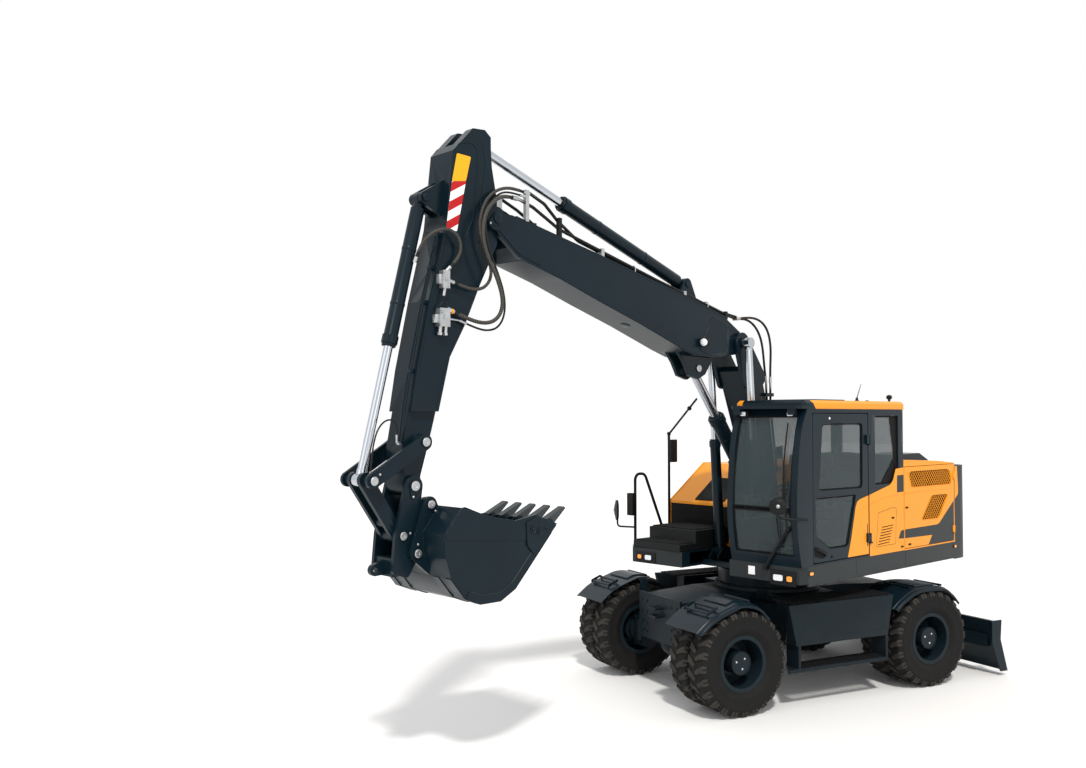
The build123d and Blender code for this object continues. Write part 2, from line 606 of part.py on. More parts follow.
def counterweight():
    """Cast counterweight, round at the tail."""
    plan = [(x, DECK_HALF_W - inset) for x, inset in TAIL]
    left = Spline(*plan, tangents=[(-1, 0), (0, -1)])
    right = mirror(left, about=Plane.XZ)
    front = Polyline((TAIL[0][0], -DECK_HALF_W), (DECK_REAR, -DECK_HALF_W), (DECK_REAR, DECK_HALF_W), plan[0])
    body = Pos(0, 0, TAIL_LOW) * extrude(make_face([left, right, front]), amount=TAIL_HIGH - TAIL_LOW)
    for y in (-LIFT_HOLE_Y, LIFT_HOLE_Y):
        body = body - z_pin(LIFT_HOLE_X, y, LIFT_HOLE_R, TAIL_HIGH - LIFT_HOLE_DEEP, TAIL_HIGH + 1)
    return body


SIDE_DOOR = dict(rear=-2080.0, front=-896.0, low=1500.0, high=2420.0, thick=14.0, gap=6.0)
DOOR_HINGE_Z = (1600.0, 2250.0)


def door_hole(outer, sign):
    """The opening in a housing's side that its door closes."""
    gap = SIDE_DOOR["gap"]
    y0, y1 = sorted((sign * (outer - SIDE_DOOR["thick"] - 1), sign * (outer + 1)))
    return box(SIDE_DOOR["rear"] - gap, SIDE_DOOR["front"] + gap, y0, y1,
               SIDE_DOOR["low"] - gap, SIDE_DOOR["high"] + gap)


def side_door(outer, sign):
    """Service door leaf in the side of a housing, with its two hinge barrels at the rear edge."""
    y0, y1 = sorted((sign * (outer - SIDE_DOOR["thick"]), sign * outer))
    leaf = box(SIDE_DOOR["rear"], SIDE_DOOR["front"], y0, y1, SIDE_DOOR["low"], SIDE_DOOR["high"])
    x, y = SIDE_DOOR["rear"] + 2, sign * (outer + 9)
    barrels = [z_pin(x, y, 9, z + SEAT_GAP, z + 80) for z in DOOR_HINGE_Z]
    straps = [box(x, x + 30, *sorted((sign * (outer - 1), y)), z + SEAT_GAP, z + 80) for z in DOOR_HINGE_Z]
    return fuse(leaf, barrels, straps) - z_pin(x, y, 4 + FIT, 1500, 2500)


def door_pins(outer, sign):
    """Hinge pins of a service door on their brackets, below each barrel."""
    x, y = SIDE_DOOR["rear"] + 2, sign * (outer + 9)
    pieces = []
    for z in DOOR_HINGE_Z:
        y0, y1 = sorted((sign * (outer - 6), sign * (outer + 15)))
        pieces.append(box(x - 20, x, y0, y1, z - 16, z) - door_hole(outer, sign))
        pieces.append(z_pin(x, y, 6, z - 16, z))
        pieces.append(z_pin(x, y, 4, z - 8, z + 78))
    return fuse(*pieces)


def left_body():
    """Left side housing between the cab and the counterweight, with the cab's lower flank."""
    low = [(-880, DECK_TOP), (HOUSING_REAR, DECK_TOP), (HOUSING_REAR, 2435), (-1700, 2470), (-880, 2500)]
    shell = prism(low, 420, CAB_LEFT)
    room = prism([(-892, DECK_TOP - 1), (HOUSING_REAR + 8, DECK_TOP - 1), (HOUSING_REAR + 8, 2420), (-1700, 2445), (-892, 2475)],
                 435, CAB_LEFT - SIDE_DOOR["thick"])
    return bored(shell - room - door_hole(CAB_LEFT, 1), HOOD_PIN, 10, 800) + door_pins(CAB_LEFT, 1)


def right_body():
    """Right side housing: tank and service boxes."""
    outer = DECK_HALF_W - 10
    outline = [(287, DECK_TOP), (HOUSING_REAR, DECK_TOP), (HOUSING_REAR, 2440), (-672, 2400), (-364, 2400), (287, 1965)]
    shell = prism(outline, -outer, -300)
    room = prism([(272, DECK_TOP - 1), (HOUSING_REAR + 12, DECK_TOP - 1), (HOUSING_REAR + 12, 2424), (-672, 2386), (-364, 2386),
                  (272, 1957)], -outer + SIDE_DOOR["thick"], -314)
    return bored(shell - room - door_hole(outer, -1), HOOD_PIN, 10, 800) + door_pins(outer, -1)


HOOD_PIN = (-930.0, 2488.0)


def engine():
    """Power unit in the bay behind the boom foot, as one block."""
    return box(-1820, -900, -290, 410, DECK_TOP, 2200)


def hood():
    """Engine hood over the bay."""
    outline = [(-900, 2420), (HOUSING_REAR, 2380), (HOUSING_REAR, 2460), (-1700, 2520), (-900, 2520)]
    return prism(outline, -295, 415) + y_pin(HOOD_PIN, 10, -312, 432)


def platform():
    """Step boxes on the right of the boom, at the front."""
    low = box(300, 1140, -1060, -360, DECK_TOP, 1560)
    mid = box(300, 860, -1060, -360, 1560, 1700)
    return low + mid


# ---------------------------------------------------------------- cab
CAB_FRONT = [(1165, DECK_TOP), (1245, 2050), (1215, 2500), (1111, 2962), (1045, ROOF_BOTTOM)]


def cab_outline(inset=0.0):
    """Side outline of the cab: bowed front, upright rear."""
    front = Spline(*[(x - inset, z) for x, z in CAB_FRONT])
    low = CAB_FRONT[0][1]
    rest = Polyline(
        (CAB_FRONT[-1][0] - inset, ROOF_BOTTOM), (CAB_REAR + inset, ROOF_BOTTOM),
        (CAB_REAR + inset, low), (CAB_FRONT[0][0] - inset, low))
    return make_face([front, rest])


def cab_prism(inset, y0, y1):
    """The cab's side outline, drawn in by inset and extruded."""
    face = Plane.XZ * cab_outline(inset)
    return Pos(0, y1, 0) * extrude(face, amount=y1 - y0)


def cab_shell():
    """Cab structure: hollow, with window and door openings."""
    shell = cab_prism(0, CAB_RIGHT, CAB_LEFT)
    room = cab_prism(45, CAB_RIGHT + 45, CAB_LEFT - 45)
    room = room & box(-2000, 2000, 0, 2000, DECK_TOP + 60, ROOF_BOTTOM - 45)
    shell = shell - room
    front = box(1000, 1400, CAB_RIGHT + CAB_PILLAR, CAB_LEFT - CAB_PILLAR, 1590, ROOF_BOTTOM - 70)
    door = box(-120, 960, CAB_LEFT - 60, CAB_LEFT + 60, 1500, ROOF_BOTTOM - 40)
    side = box(-760, -260, CAB_LEFT - 60, CAB_LEFT + 60, 2250, ROOF_BOTTOM - 70)
    right = box(-760, 1010, CAB_RIGHT - 60, CAB_RIGHT + 60, 1900, ROOF_BOTTOM - 70)
    rear = box(CAB_REAR - 60, CAB_REAR + 60, CAB_RIGHT + 90, CAB_LEFT - 90, 2560, ROOF_BOTTOM - 70)
    shell = shell - front - door - side - right - rear
    x, y = CAB_HINGE
    pins = []
    for z in CAB_HINGE_Z:
        pins.append(box(x - 40, x + 7, CAB_LEFT - 10, y + 7, z - 16, z) - box(x + 0.5, x + 20, 1000, CAB_LEFT + 2, z - 20, z + 4))
        pins.append(z_pin(x, y, 7, z - 8, z + 92))
    return fuse(shell, pins)


def cab_roof():
    """Roof cap over the cab."""
    cap = box(-955, 1090, CAB_RIGHT - 10, CAB_LEFT - 10, ROOF_BOTTOM, ROOF_TOP)
    cap = fillet(cap.edges().filter_by(Axis.Z), 60)
    cap = chamfer(cap.faces().sort_by(Axis.Z)[-1].edges(), 30)
    visor = box(1000, 1185, CAB_RIGHT - 10, CAB_LEFT - 10, ROOF_BOTTOM, ROOF_BOTTOM + 34)
    visor = fillet(visor.edges().filter_by(Axis.Z).sort_by(Axis.X)[-2:], 60)
    lamps = [box(1118, 1172, y - 42, y + 42, ROOF_BOTTOM - 62, ROOF_BOTTOM) for y in (CAB_RIGHT + 75, CAB_LEFT - 115)]
    return fuse(cap, visor, lamps)


def mirror_disc(centre, normal, radius):
    """A round mirror in its shallow housing."""
    place = Plane(origin=centre, z_dir=normal)
    return place.location * (Cylinder(radius, 26) + Pos(0, 0, 20) * Cone(radius * 0.96, radius * 0.5, 16))


RAIL_Y = -1120.0


def mirrors_and_rails():
    """Grab rail and mirror posts on the right of the deck, and the left mirror on the cab."""
    hoop = tube([(1040, RAIL_Y, DECK_TOP), (1040, RAIL_Y, 2318), (872, RAIL_Y, 2318), (470, RAIL_Y, DECK_TOP)], 17, 90)
    hoop = hoop & box(0, 1300, -1300, -900, DECK_TOP, 2500)
    arm = tube([(1040, RAIL_Y, 1694), (1120, -1330, 1694), (1112, -1340, 1790)], 11, 40)
    disc = mirror_disc((1110, -1350, 1884), (0.76, -0.65, 0.0), 118)
    case = box(1046, 1112, -1185, -1095, 1835, 2095)
    post = z_pin(430, RAIL_Y, 16, DECK_TOP, 2790)
    glass = box(350, 460, RAIL_Y + 28, RAIL_Y + 64, 2440, 2715) + box(415, 445, RAIL_Y, RAIL_Y + 40, 2560, 2600)
    stay = bar((430, RAIL_Y, 2780), (660, -500, 3200), 12) + Pos(603, -655, 3092) * Sphere(26)
    stay = stay + Pos(430, RAIL_Y, 2785) * Sphere(24)
    right = fuse(hoop, arm, disc, case, post, glass, stay)
    reach = tube([(1100, CAB_LEFT, 1962), (1100, CAB_LEFT + 34, 1962), (1290, CAB_LEFT + 14, 1972), (1400, 1126, 1990),
                  (1400, 1126, 2080)], 11, 50)
    left = reach + mirror_disc((1400, 1126, 2107), (0.85, 0.53, 0.0), 88)
    return [right, left]


def cab_door():
    """Cab door frame with its lower panel."""
    leaf = box(-112, 950, CAB_LEFT - 38, CAB_LEFT - 2, 1508, ROOF_BOTTOM - 48)
    window = box(-20, 760, CAB_LEFT - 60, CAB_LEFT + 60, 2230, 2930)
    lower = box(130, 860, CAB_LEFT - 60, CAB_LEFT + 60, 1680, 2140)
    x, y = CAB_HINGE
    barrels = [z_pin(x, y, 13, z + SEAT_GAP, z + 96) for z in CAB_HINGE_Z]
    straps = [box(x + 8, x + 60, CAB_LEFT - 10, y + 6, z + SEAT_GAP, z + 96) for z in CAB_HINGE_Z]
    return fuse(leaf - window - lower, barrels, straps) - z_pin(x, y, 7 + FIT, 1500, 3000)


def seat():
    """Operator's seat on its pedestal."""
    y = CAB_MID
    base = box(-350, 150, y - 250, y + 250, DECK_TOP + 60, 1850)
    cushion = box(-350, 200, y - 260, y + 260, 1850, 1990)
    back = box(-450, -320, y - 250, y + 250, 1900, 2600)
    return [base, cushion + back]


# ---------------------------------------------------------------- boom
UPPER_BOOM = [
    (4030, 4790), (3983, 4778), (3591, 4690), (2972, 4557), (2298, 4401), (1624, 4252), (1031, 4091),
    (960, 4000), (960, 3690), (1035, 3655), (1200, 3632), (1560, 3640), (1790, 3710), (2404, 3920),
    (2974, 4098), (3502, 4272), (3960, 4400), (4030, 4520),
]


def upper_boom():
    """Upper boom: box section, tip fork, hook for the adjusting cylinder and rear boss."""
    body = prism(UPPER_BOOM, -BOOM_HALF_W, BOOM_HALF_W)
    core = offset(side_face(UPPER_BOOM), -BOX_WALL * 1.6)
    core = Pos(0, BOOM_HALF_W - BOX_WALL, 0) * extrude(core, amount=2 * (BOOM_HALF_W - BOX_WALL))
    body = body - core
    jx, jz = KNEE_PIN
    px, pz = ARM_PIN
    root = hull_plate([(jx, jz, 115), (1000, 3980, 110), (1010, 3740, 90)], -146, 146)
    boss = y_pin(KNEE_PIN, 115, -146, 146)
    cheeks = both(prism([(3700, 4715), (4089, 4790), (4353, 4782), (4376, 4708), (4262, 4626), (4228, 4586),
                         (4018, 4422), (3700, 4335)], 165, BOOM_HALF_W))
    tips = both(y_pin(ARM_PIN, 105, 165, BOOM_HALF_W + 12))
    hook = prism([(1100, 3650), (1175, 3541), (1245, 3452), (1364, 3396), (1515, 3434), (1596, 3569), (1700, 3690)], 56, 96)
    hook = both(hook)
    foot_lug = hull_plate([(ARM_CYL_FOOT[0], ARM_CYL_FOOT[1], 62), (1380, 4180, 40), (1640, 4240, 40)], 56, 86)
    feet = both(foot_lug)
    foot_pin = y_pin(ARM_CYL_FOOT, CYLINDERS["arm"]["rod"] * 0.9, -98, 98)
    piece = fuse(body, root, boss, cheeks, tips, hook, feet, foot_pin)
    piece = bored(piece, KNEE_PIN, 45)
    arm_pin = y_pin(ARM_PIN, 45, -232, 232)
    return fuse(piece, arm_pin, boom_pipes())


def boom_pipes():
    """Hydraulic pipes on top of the upper boom, with their clamps and the hose fittings at both ends."""
    pipes = [tube(line, BOOM_PIPE_R, 150) for line in BOOM_PIPES]
    low, high = BOOM_PIPES
    clamps = [
        box(1660, 1700, 105, 185, 4250, 4312), box(2900, 2940, 105, 192, 4525, 4622), box(3470, 3510, 158, 196, 4655, 4845),
        box(3890, 3930, 172, 208, 4755, 5042), box(960, 1000, 105, 185, 4060, 4146),
    ]
    left = pipes + clamps + [ferrule(n, 0) for n in ("hose_knee_high", "hose_knee_low")]
    hoses = [ferrule(n, 0) for n in ("hose_arm_feed", "hose_arm_return", "hose_arm_drain")]
    feed = [bar((3945, 192, 4984), (3920, 192, 4984), 11.7)]
    right = [mirror(piece, about=Plane.XZ) for piece in pipes + clamps]
    return fuse(left, hoses, feed, right)


def lower_boom():
    """Lower boom: deep box with foot boss, knee plates and the adjusting cylinder's foot."""
    fx, fz = FOOT_PIN
    jx, jz = KNEE_PIN
    outline = [(fx - 60, fz + 40), (229, 3241), (285, 3411), (420, 3560), (640, 3560), (700, 3500), (479, 2955),
               (300, 2500), (140, 2040)]
    body = prism(outline, -LOWER_HALF_W + 30, LOWER_HALF_W - 30)
    core = offset(side_face(outline), -BOX_WALL * 1.4)
    core = Pos(0, LOWER_HALF_W - 44, 0) * extrude(core, amount=2 * (LOWER_HALF_W - 44))
    body = body - core
    plate = hull_plate([(jx, jz, 120), (400, 3440, 110), (600, 3400, 90)], LOWER_HALF_W - 30, LOWER_HALF_W + 12)
    foot = y_pin(FOOT_PIN, 100, -150, 150)
    ax, az = ADJUST_FOOT
    lug = hull_plate([(ax, az, 62), (60, 2090, 50), (130, 2280, 50)], 53, 93)
    piece = fuse(body, both(plate), foot, both(lug))
    piece = bored(piece, FOOT_PIN, 45)
    knee = y_pin(KNEE_PIN, 45, -212, 212)
    adjust_pin = y_pin(ADJUST_FOOT, CYLINDERS["adjust"]["rod"] * 0.9, -104, 104)
    return fuse(piece, knee, adjust_pin, riser_pipes())


def riser_pipes():
    """Two pipes up the back of the lower boom, on a bracket below the knee."""
    high = tube([(150, 165, 3380), (150, 165, 3300), (130, 150, 3100), (-20, 130, 2350)], 13, 120)
    low = tube([(176, 125, 3391), (166, 120, 3300), (130, 110, 3080), (-20, 95, 2350)], 13, 120)
    bracket = box(110, 260, 60, 185, 3225, 3265)
    foot = box(-75, 60, 60, 150, 2370, 2410)
    return fuse(high, low, bracket, foot, ferrule("hose_knee_high", -1), ferrule("hose_knee_low", -1))


# ---------------------------------------------------------------- arm
ARM = [
    (4367, 5509), (4300, 5455), (4299, 5344), (4287, 5186), (4229, 4911), (4229, 4511), (4420, 4140),
    (4584, 3782), (4744, 3500), (4860, 3040), (5139, 3040), (5083, 3381), (4954, 3969), (4790, 4618), (4718, 5270), (4500, 5500),
]


def arm():
    """Dipper arm: tapered box with pivot bosses, slots for the two cylinders and the tip boss."""
    body = prism(ARM, -ARM_HALF_W, ARM_HALF_W)
    core = offset(side_face(ARM), -BOX_WALL * 1.6)
    core = Pos(0, ARM_HALF_W - BOX_WALL, 0) * extrude(core, amount=2 * (ARM_HALF_W - BOX_WALL))
    core = core & box(4000, 5400, -400, 400, 3060, 5180)
    low = prism([(4860, 3040), (4878, 2969), (4948, 2720), (5045, 2400), (5165, 2400), (5198, 2726), (5139, 3040)],
                -TIP_HALF_W, TIP_HALF_W)
    body = body - core
    slot = box(4200, 4640, -58, 58, 5230, 5600)
    body = body - slot
    ears = both(y_pin(ARM_CYL_EYE, 95, 58, 120))
    boss = y_pin(ARM_PIN, 112, -ARM_HALF_W, ARM_HALF_W)
    rear = hull_plate([(ARM_PIN[0], ARM_PIN[1], 112), (4420, 4900, 90), (4420, 4500, 90)], -ARM_HALF_W, ARM_HALF_W)
    tip = hull_plate([(*TIP_PIN, 88), (5080, 2600, 70)], -TIP_HALF_W, TIP_HALF_W)
    ex, ez = BUCKET_CYL_FOOT
    lug = hull_plate([(ex, ez, 54), (4740, 4960, 60), (4780, 4760, 50)], 50, 84)
    rock = both(y_pin(ROCKER_PIN, 70, 60, ARM_HALF_W + 4))
    piece = fuse(body, low, boss, rear, tip, both(lug), rock)
    piece = bored(piece, ARM_PIN, 45)
    rocker_pin = y_pin(ROCKER_PIN, 38, -212, 212)
    tip_pin = y_pin(TIP_PIN, 42, -178, 178)
    cyl_pin = y_pin(BUCKET_CYL_FOOT, CYLINDERS["bucket"]["rod"] * 0.9, -96, 96)
    return fuse(piece, rocker_pin, tip_pin, cyl_pin, arm_valves(), arm_pipes())


def arm_valves():
    """Two valve blocks on the left of the arm with the fittings of its hoses."""
    side = ARM_HALF_W - 2
    upper = box(4790, 4862, side, 222, 4075, 4225) + box(4862, 4890, side, 205, 4110, 4190)
    lower = box(4790, 4895, side, 226, 3750, 3905) + box(4895, 4930, side, 205, 3780, 3850)
    ports = [bar((x, 198, 3760), (x + 8, 198, 3690), 15) for x in (4815, 4870)]
    ports.append(bar((4826, 198, 4080), (4840, 198, 4010), 13))
    drain = bar((4665, 190, 3813), (4795, 190, 3822), 9)
    fittings = [ferrule(n, -1) for n in ("hose_arm_feed", "hose_arm_return", "hose_arm_drain")]
    return fuse(upper, lower, ports, drain, fittings, ferrule("hose_bucket_cylinder", 0))


def arm_pipes():
    """Pipes down the outer face of the arm, with clamps, to the fittings of the coupler hose."""
    face = [(4836, 4540), (4906, 4255), (4984, 3955), (5112, 3375), (5158, 3130), (5200, 2780)]
    lines = [tube([(x + 4, y, z) for x, z in face], 10, 200) for y in (112, 84)]
    clamps = [box(x - 45, x + 16, 68, 128, z - 14, z + 14) for x, z in face[:4]]
    clamps += [box(x - 45, x + 16, 68, 100, z - 14, z + 14) for x, z in face[5:]]
    return fuse(lines, clamps, ferrule("hose_coupler", 0))


def rocker():
    """Two guide links from the arm to the bucket cylinder's rod eye, each with its stub pin."""
    plate = hull_plate([(*ROCKER_PIN, 66), (*LINK_PIN, 62)], ARM_HALF_W + 9, ARM_HALF_W + 39)
    plate = bored(plate, ROCKER_PIN, 38)
    stub = y_pin(LINK_PIN, 36, 50, ARM_HALF_W + 54)
    left, right = both(plate + stub)
    return [left + ferrule("hose_coupler", -1, 50), right]


def link():
    """Power link from the rod eye to the coupler: two bars with a cross web."""
    bars = both(hull_plate([(*LINK_PIN, 64), (*COUPLER_PIN, 60)], 54, 96))
    cx = (LINK_PIN[0] + COUPLER_PIN[0] * 3) / 4
    cz = (LINK_PIN[1] + COUPLER_PIN[1] * 3) / 4
    web = y_pin((cx, cz), 50, -96, 96)
    end = y_pin(COUPLER_PIN, 60, -112, 112)
    piece = fuse(bars, web, end)
    return bored(piece, LINK_PIN, 36)


def coupler():
    """Quick coupler: two side plates with hooks on the bucket pins, joined by a cross block."""
    bx, bz = TIP_PIN
    plate = hull_plate([(bx, bz, 84), (*COUPLER_PIN, 72), (5110, 2130, 50)], 122, 160)
    lower = hull_plate([(*COUPLER_PIN, 72), (5270, 1760, 40), (5180, 1730, 40), (*BUCKET_PIN_LOWER, 60)], 122, 160)
    upper = hull_plate([(*BUCKET_PIN_UPPER, 60), (5085, 2230, 60), (5115, 2080, 50)], 122, 160)
    side = plate + lower + upper
    block = box(5120, 5290, -122, 122, 1700, 1850)
    eye = hull_plate([(5385, 1756, 48), (5270, 1775, 60)], -24, 24) - y_pin((5385, 1756), 20, -40, 40)
    piece = fuse(both(side), block, eye)
    piece = bored(piece, TIP_PIN, 42)
    piece = piece - y_pin(BUCKET_PIN_UPPER, 35, -200, 200) - y_pin(BUCKET_PIN_LOWER, 35, -200, 200)
    heads = both(y_pin(COUPLER_PIN, 34, 158, 172))
    return fuse(piece, heads)


# ---------------------------------------------------------------- bucket
BUCKET = [
    (3820, 2060), (4300, 1545), (4460, 1462), (4675, 1461), (4835, 1522), (4980, 1697), (5034, 1860),
    (5050, 2060), (4884, 2262), (4517, 2158), (4297, 2118), (4070, 2153),
]


def bucket():
    """Digging bucket: rolled wrapper, side plates, ears for the coupler and its two pins."""
    half = BUCKET_HALF_W
    outer = side_face(BUCKET)
    inner = offset(outer, -BUCKET_WALL)
    wrap = Pos(0, half, 0) * extrude(outer, amount=2 * half)
    room = Pos(0, half - 16, 0) * extrude(inner, amount=2 * half - 32)
    mouth = prism([(3850, 2062), (4870, 2236), (4880, 2400), (3850, 2400)], -half + 16, half - 16)
    shell = wrap - room - mouth
    ears = []
    for y in (172, ):
        ear = hull_plate([(*BUCKET_PIN_UPPER, 66), (*BUCKET_PIN_LOWER, 66), (4960, 1720, 30), (4900, 2200, 30)],
                         y, y + 36)
        ears += both(ear)
    pins = [y_pin(BUCKET_PIN_UPPER, 35, -222, 222), y_pin(BUCKET_PIN_LOWER, 35, -222, 222)]
    piece = fuse(shell, ears, pins)
    piece = piece - prism([(3850, 2085), (4040, 1890), (4300, 1600), (4470, 1500), (4660, 1500), (4800, 1560),
                           (4940, 1710), (4990, 1870), (5008, 2050), (4870, 2230)], -half + 16, half - 16)
    return piece


def teeth(shell):
    """Row of digging teeth seated on the bucket's lip."""
    start = -TOOTH_PITCH * (TOOTH_COUNT - 1) / 2
    row = []
    for i in range(TOOTH_COUNT):
        y = start + i * TOOTH_PITCH
        row.append(prism([(3985, 1880), (3650, 2180), (3668, 2196), (3900, 2090), (3840, 2046)], y - 38, y + 38) - shell)
    return row


# ---------------------------------------------------------------- build
def main():
    os.makedirs("parts", exist_ok=True)
    wheels()
    save("front_axle", under(front_axle()))
    save("rear_axle", under(rear_axle()))
    for side, sign in (("left", 1), ("right", -1)):
        save(f"knuckle_{side}", under(knuckle(sign)))
        save(f"mudguard_front_{side}", under(front_mudguard(sign)))
        save(f"steps_{side}", under(steps(sign)))
    save("mudguards_rear", [under(m) for m in rear_mudguards()])
    save("drive_line", under(drive_line()))
    save("chassis", under(chassis()))
    save("slew_ring", under(slew_ring()))
    save("dozer_blade", under(blade()))
    barrels, rods = [], []
    for y in (BLADE_CYL_Y, -BLADE_CYL_Y):
        barrel, rod = cylinder_pair("blade", BLADE_CYL_FOOT, BLADE_CYL_EYE, y, pin_r=25)
        barrels.append(under(barrel))
        rods.append(under(rod))
    save("blade_barrels", barrels)
    save("blade_rods", rods)
    save("upper_frame", upper_frame())
    save("counterweight", counterweight())
    save("left_housing", left_body())
    save("right_housing", right_body())
    save("engine", engine())
    save("hood", hood())
    save("left_door", side_door(CAB_LEFT, 1))
    save("right_door", side_door(DECK_HALF_W - 10, -1))
    save("platform", platform())
    save("cab_shell", cab_shell())
    save("cab_roof", cab_roof())
    save("cab_door", cab_door())
    save("seat", seat())
    save("upper_boom", upper_boom())
    save("lower_boom", lower_boom())
    save("arm", arm())
    save("rocker", rocker())
    save("link", link())
    save("coupler", coupler())
    shell = bucket()
    save("bucket", shell)
    save("bucket_teeth", teeth(shell))
    barrels, rods = [], []
    for y in (LIFT_Y, -LIFT_Y):
        barrel, rod = cylinder_pair("lift", LIFT_FOOT, KNEE_PIN, y)
        barrels.append(barrel)
        rods.append(rod)
    for name in HOSES:
        save(name, hose(name))
    save("mirrors_and_rails", mirrors_and_rails())
    save("lift_barrels", barrels)
    save("lift_rods", rods)
    for kind, foot, eye in (("adjust", ADJUST_FOOT, HOOK_PIN), ("arm", ARM_CYL_FOOT, ARM_CYL_EYE),
                            ("bucket", BUCKET_CYL_FOOT, LINK_PIN)):
        barrel, rod = cylinder_pair(kind, foot, eye)
        if kind == "bucket":
            barrel = barrel + ferrule("hose_bucket_cylinder", -1, 50)
        save(f"{kind}_barrel", barrel)
        save(f"{kind}_rod", rod)


main()
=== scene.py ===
"""Looks of the wheeled excavator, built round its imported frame. Metres, in the machine frame:
+X along the boom, +Y to the machine's left, +Z up. The undercarriage stands turned under it."""
import bpy
import bmesh
import json
from math import cos, radians, sin, tau
from mathutils import Matrix, Vector


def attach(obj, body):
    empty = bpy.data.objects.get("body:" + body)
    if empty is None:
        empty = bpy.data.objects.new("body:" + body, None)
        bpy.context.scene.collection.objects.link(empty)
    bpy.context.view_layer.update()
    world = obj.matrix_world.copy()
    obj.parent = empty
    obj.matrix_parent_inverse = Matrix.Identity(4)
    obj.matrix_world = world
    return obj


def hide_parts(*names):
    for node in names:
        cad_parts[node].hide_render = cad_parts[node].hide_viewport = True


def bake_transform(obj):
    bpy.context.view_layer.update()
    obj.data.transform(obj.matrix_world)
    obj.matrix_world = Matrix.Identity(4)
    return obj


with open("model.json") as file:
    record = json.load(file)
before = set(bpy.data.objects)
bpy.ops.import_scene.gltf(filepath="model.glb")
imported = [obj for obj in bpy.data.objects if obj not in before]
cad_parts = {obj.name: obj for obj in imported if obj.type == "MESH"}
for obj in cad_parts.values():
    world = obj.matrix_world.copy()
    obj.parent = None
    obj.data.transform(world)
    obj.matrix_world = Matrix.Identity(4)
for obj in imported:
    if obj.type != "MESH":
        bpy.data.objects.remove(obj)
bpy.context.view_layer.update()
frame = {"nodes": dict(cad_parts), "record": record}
BODY_OF = {node: body for body, nodes in frame["record"]["behaviour"]["bodies"].items() for node in nodes}

# ------------------------------------------------------------------ driving sizes
SLEW = Matrix.Rotation(radians(-15.5), 4, "Z")
HALF_BASE = 1.3
TYRE_R = 0.527
WHEEL_MID = 0.951
TWIN_HALF = 0.16
LUGS_ROUND = 24

# ------------------------------------------------------------------ camera, light and floor
CAMERA_AT = (9.972, 7.06, 3.005)
CAMERA_YAW = radians(-132.37)
CAMERA_PITCH = radians(1.78)
CAMERA_LENS = 33.83


def added(name, data):
    """A new object in the scene."""
    obj = bpy.data.objects.new(name, data)
    bpy.context.scene.collection.objects.link(obj)
    return obj


def make_camera():
    """The camera stands at the machine's left front."""
    data = bpy.data.cameras.new("camera")
    data.lens = CAMERA_LENS
    data.sensor_width = 36.0
    data.clip_end = 200.0
    camera = added("camera", data)
    aim = Vector((cos(CAMERA_YAW) * cos(CAMERA_PITCH), sin(CAMERA_YAW) * cos(CAMERA_PITCH), sin(CAMERA_PITCH)))
    camera.location = CAMERA_AT
    camera.rotation_euler = aim.to_track_quat("-Z", "Y").to_euler()
    bpy.context.scene.camera = camera


def make_light():
    """Soft studio light: a wide sun, a bright world and two large panels."""
    world = bpy.data.worlds.new("studio")
    bpy.context.scene.world = world
    world.use_nodes = True
    ground = world.node_tree.nodes["Background"]
    ground.inputs["Color"].default_value = (1.0, 1.0, 1.0, 1.0)
    ground.inputs["Strength"].default_value = 1.0
    bpy.context.scene.view_settings.view_transform = "Standard"
    bpy.context.scene.cycles.transparent_max_bounces = 24
    sun = bpy.data.lights.new("sun", "SUN")
    sun.energy = 2.6
    sun.angle = radians(5)
    sun.color = (1.0, 0.965, 0.91)
    lamp = added("sun", sun)
    lamp.rotation_euler = Vector((-0.42, -0.52, -0.86)).to_track_quat("-Z", "Y").to_euler()
    for name, at, size, power in (("panel_left", (6.0, 11.0, 5.0), 6.0, 120.0),
                                  ("panel_front", (12.0, 0.0, 6.0), 6.0, 90.0)):
        area = bpy.data.lights.new(name, "AREA")
        area.energy = power
        area.size = size
        lamp = added(name, area)
        lamp.location = at
        lamp.rotation_euler = (Vector((0.5, 0.0, 1.5)) - Vector(at)).to_track_quat("-Z", "Y").to_euler()


def make_floor():
    """A plain pale floor."""
    mesh = bpy.data.meshes.new("floor")
    side = 90.0
    mesh.from_pydata([(-side, -side, -0.002), (side, -side, -0.002), (side, side, -0.002), (-side, side, -0.002)],
                     [], [(0, 1, 2, 3)])
    floor = added("floor", mesh)
    matt = bpy.data.materials.new("pale floor")
    matt.use_nodes = True
    shader = matt.node_tree.nodes["Principled BSDF"]
    shader.inputs["Base Color"].default_value = (0.72, 0.72, 0.72, 1.0)
    shader.inputs["Roughness"].default_value = 0.85
    mesh.materials.append(matt)


# ------------------------------------------------------------------ finishes
def feed(tree, node, inputs):
    """Set a node's inputs: a socket is linked, anything else is the input's value."""
    for key, value in inputs.items():
        if isinstance(value, bpy.types.NodeSocket):
            tree.links.new(value, node.inputs[key])
        else:
            node.inputs[key].default_value = value


def wired(tree, kind, inputs=None, **settings):
    """A new node with its settings and inputs."""
    node = tree.nodes.new(kind)
    for key, value in settings.items():
        setattr(node, key, value)
    feed(tree, node, inputs or {})
    return node


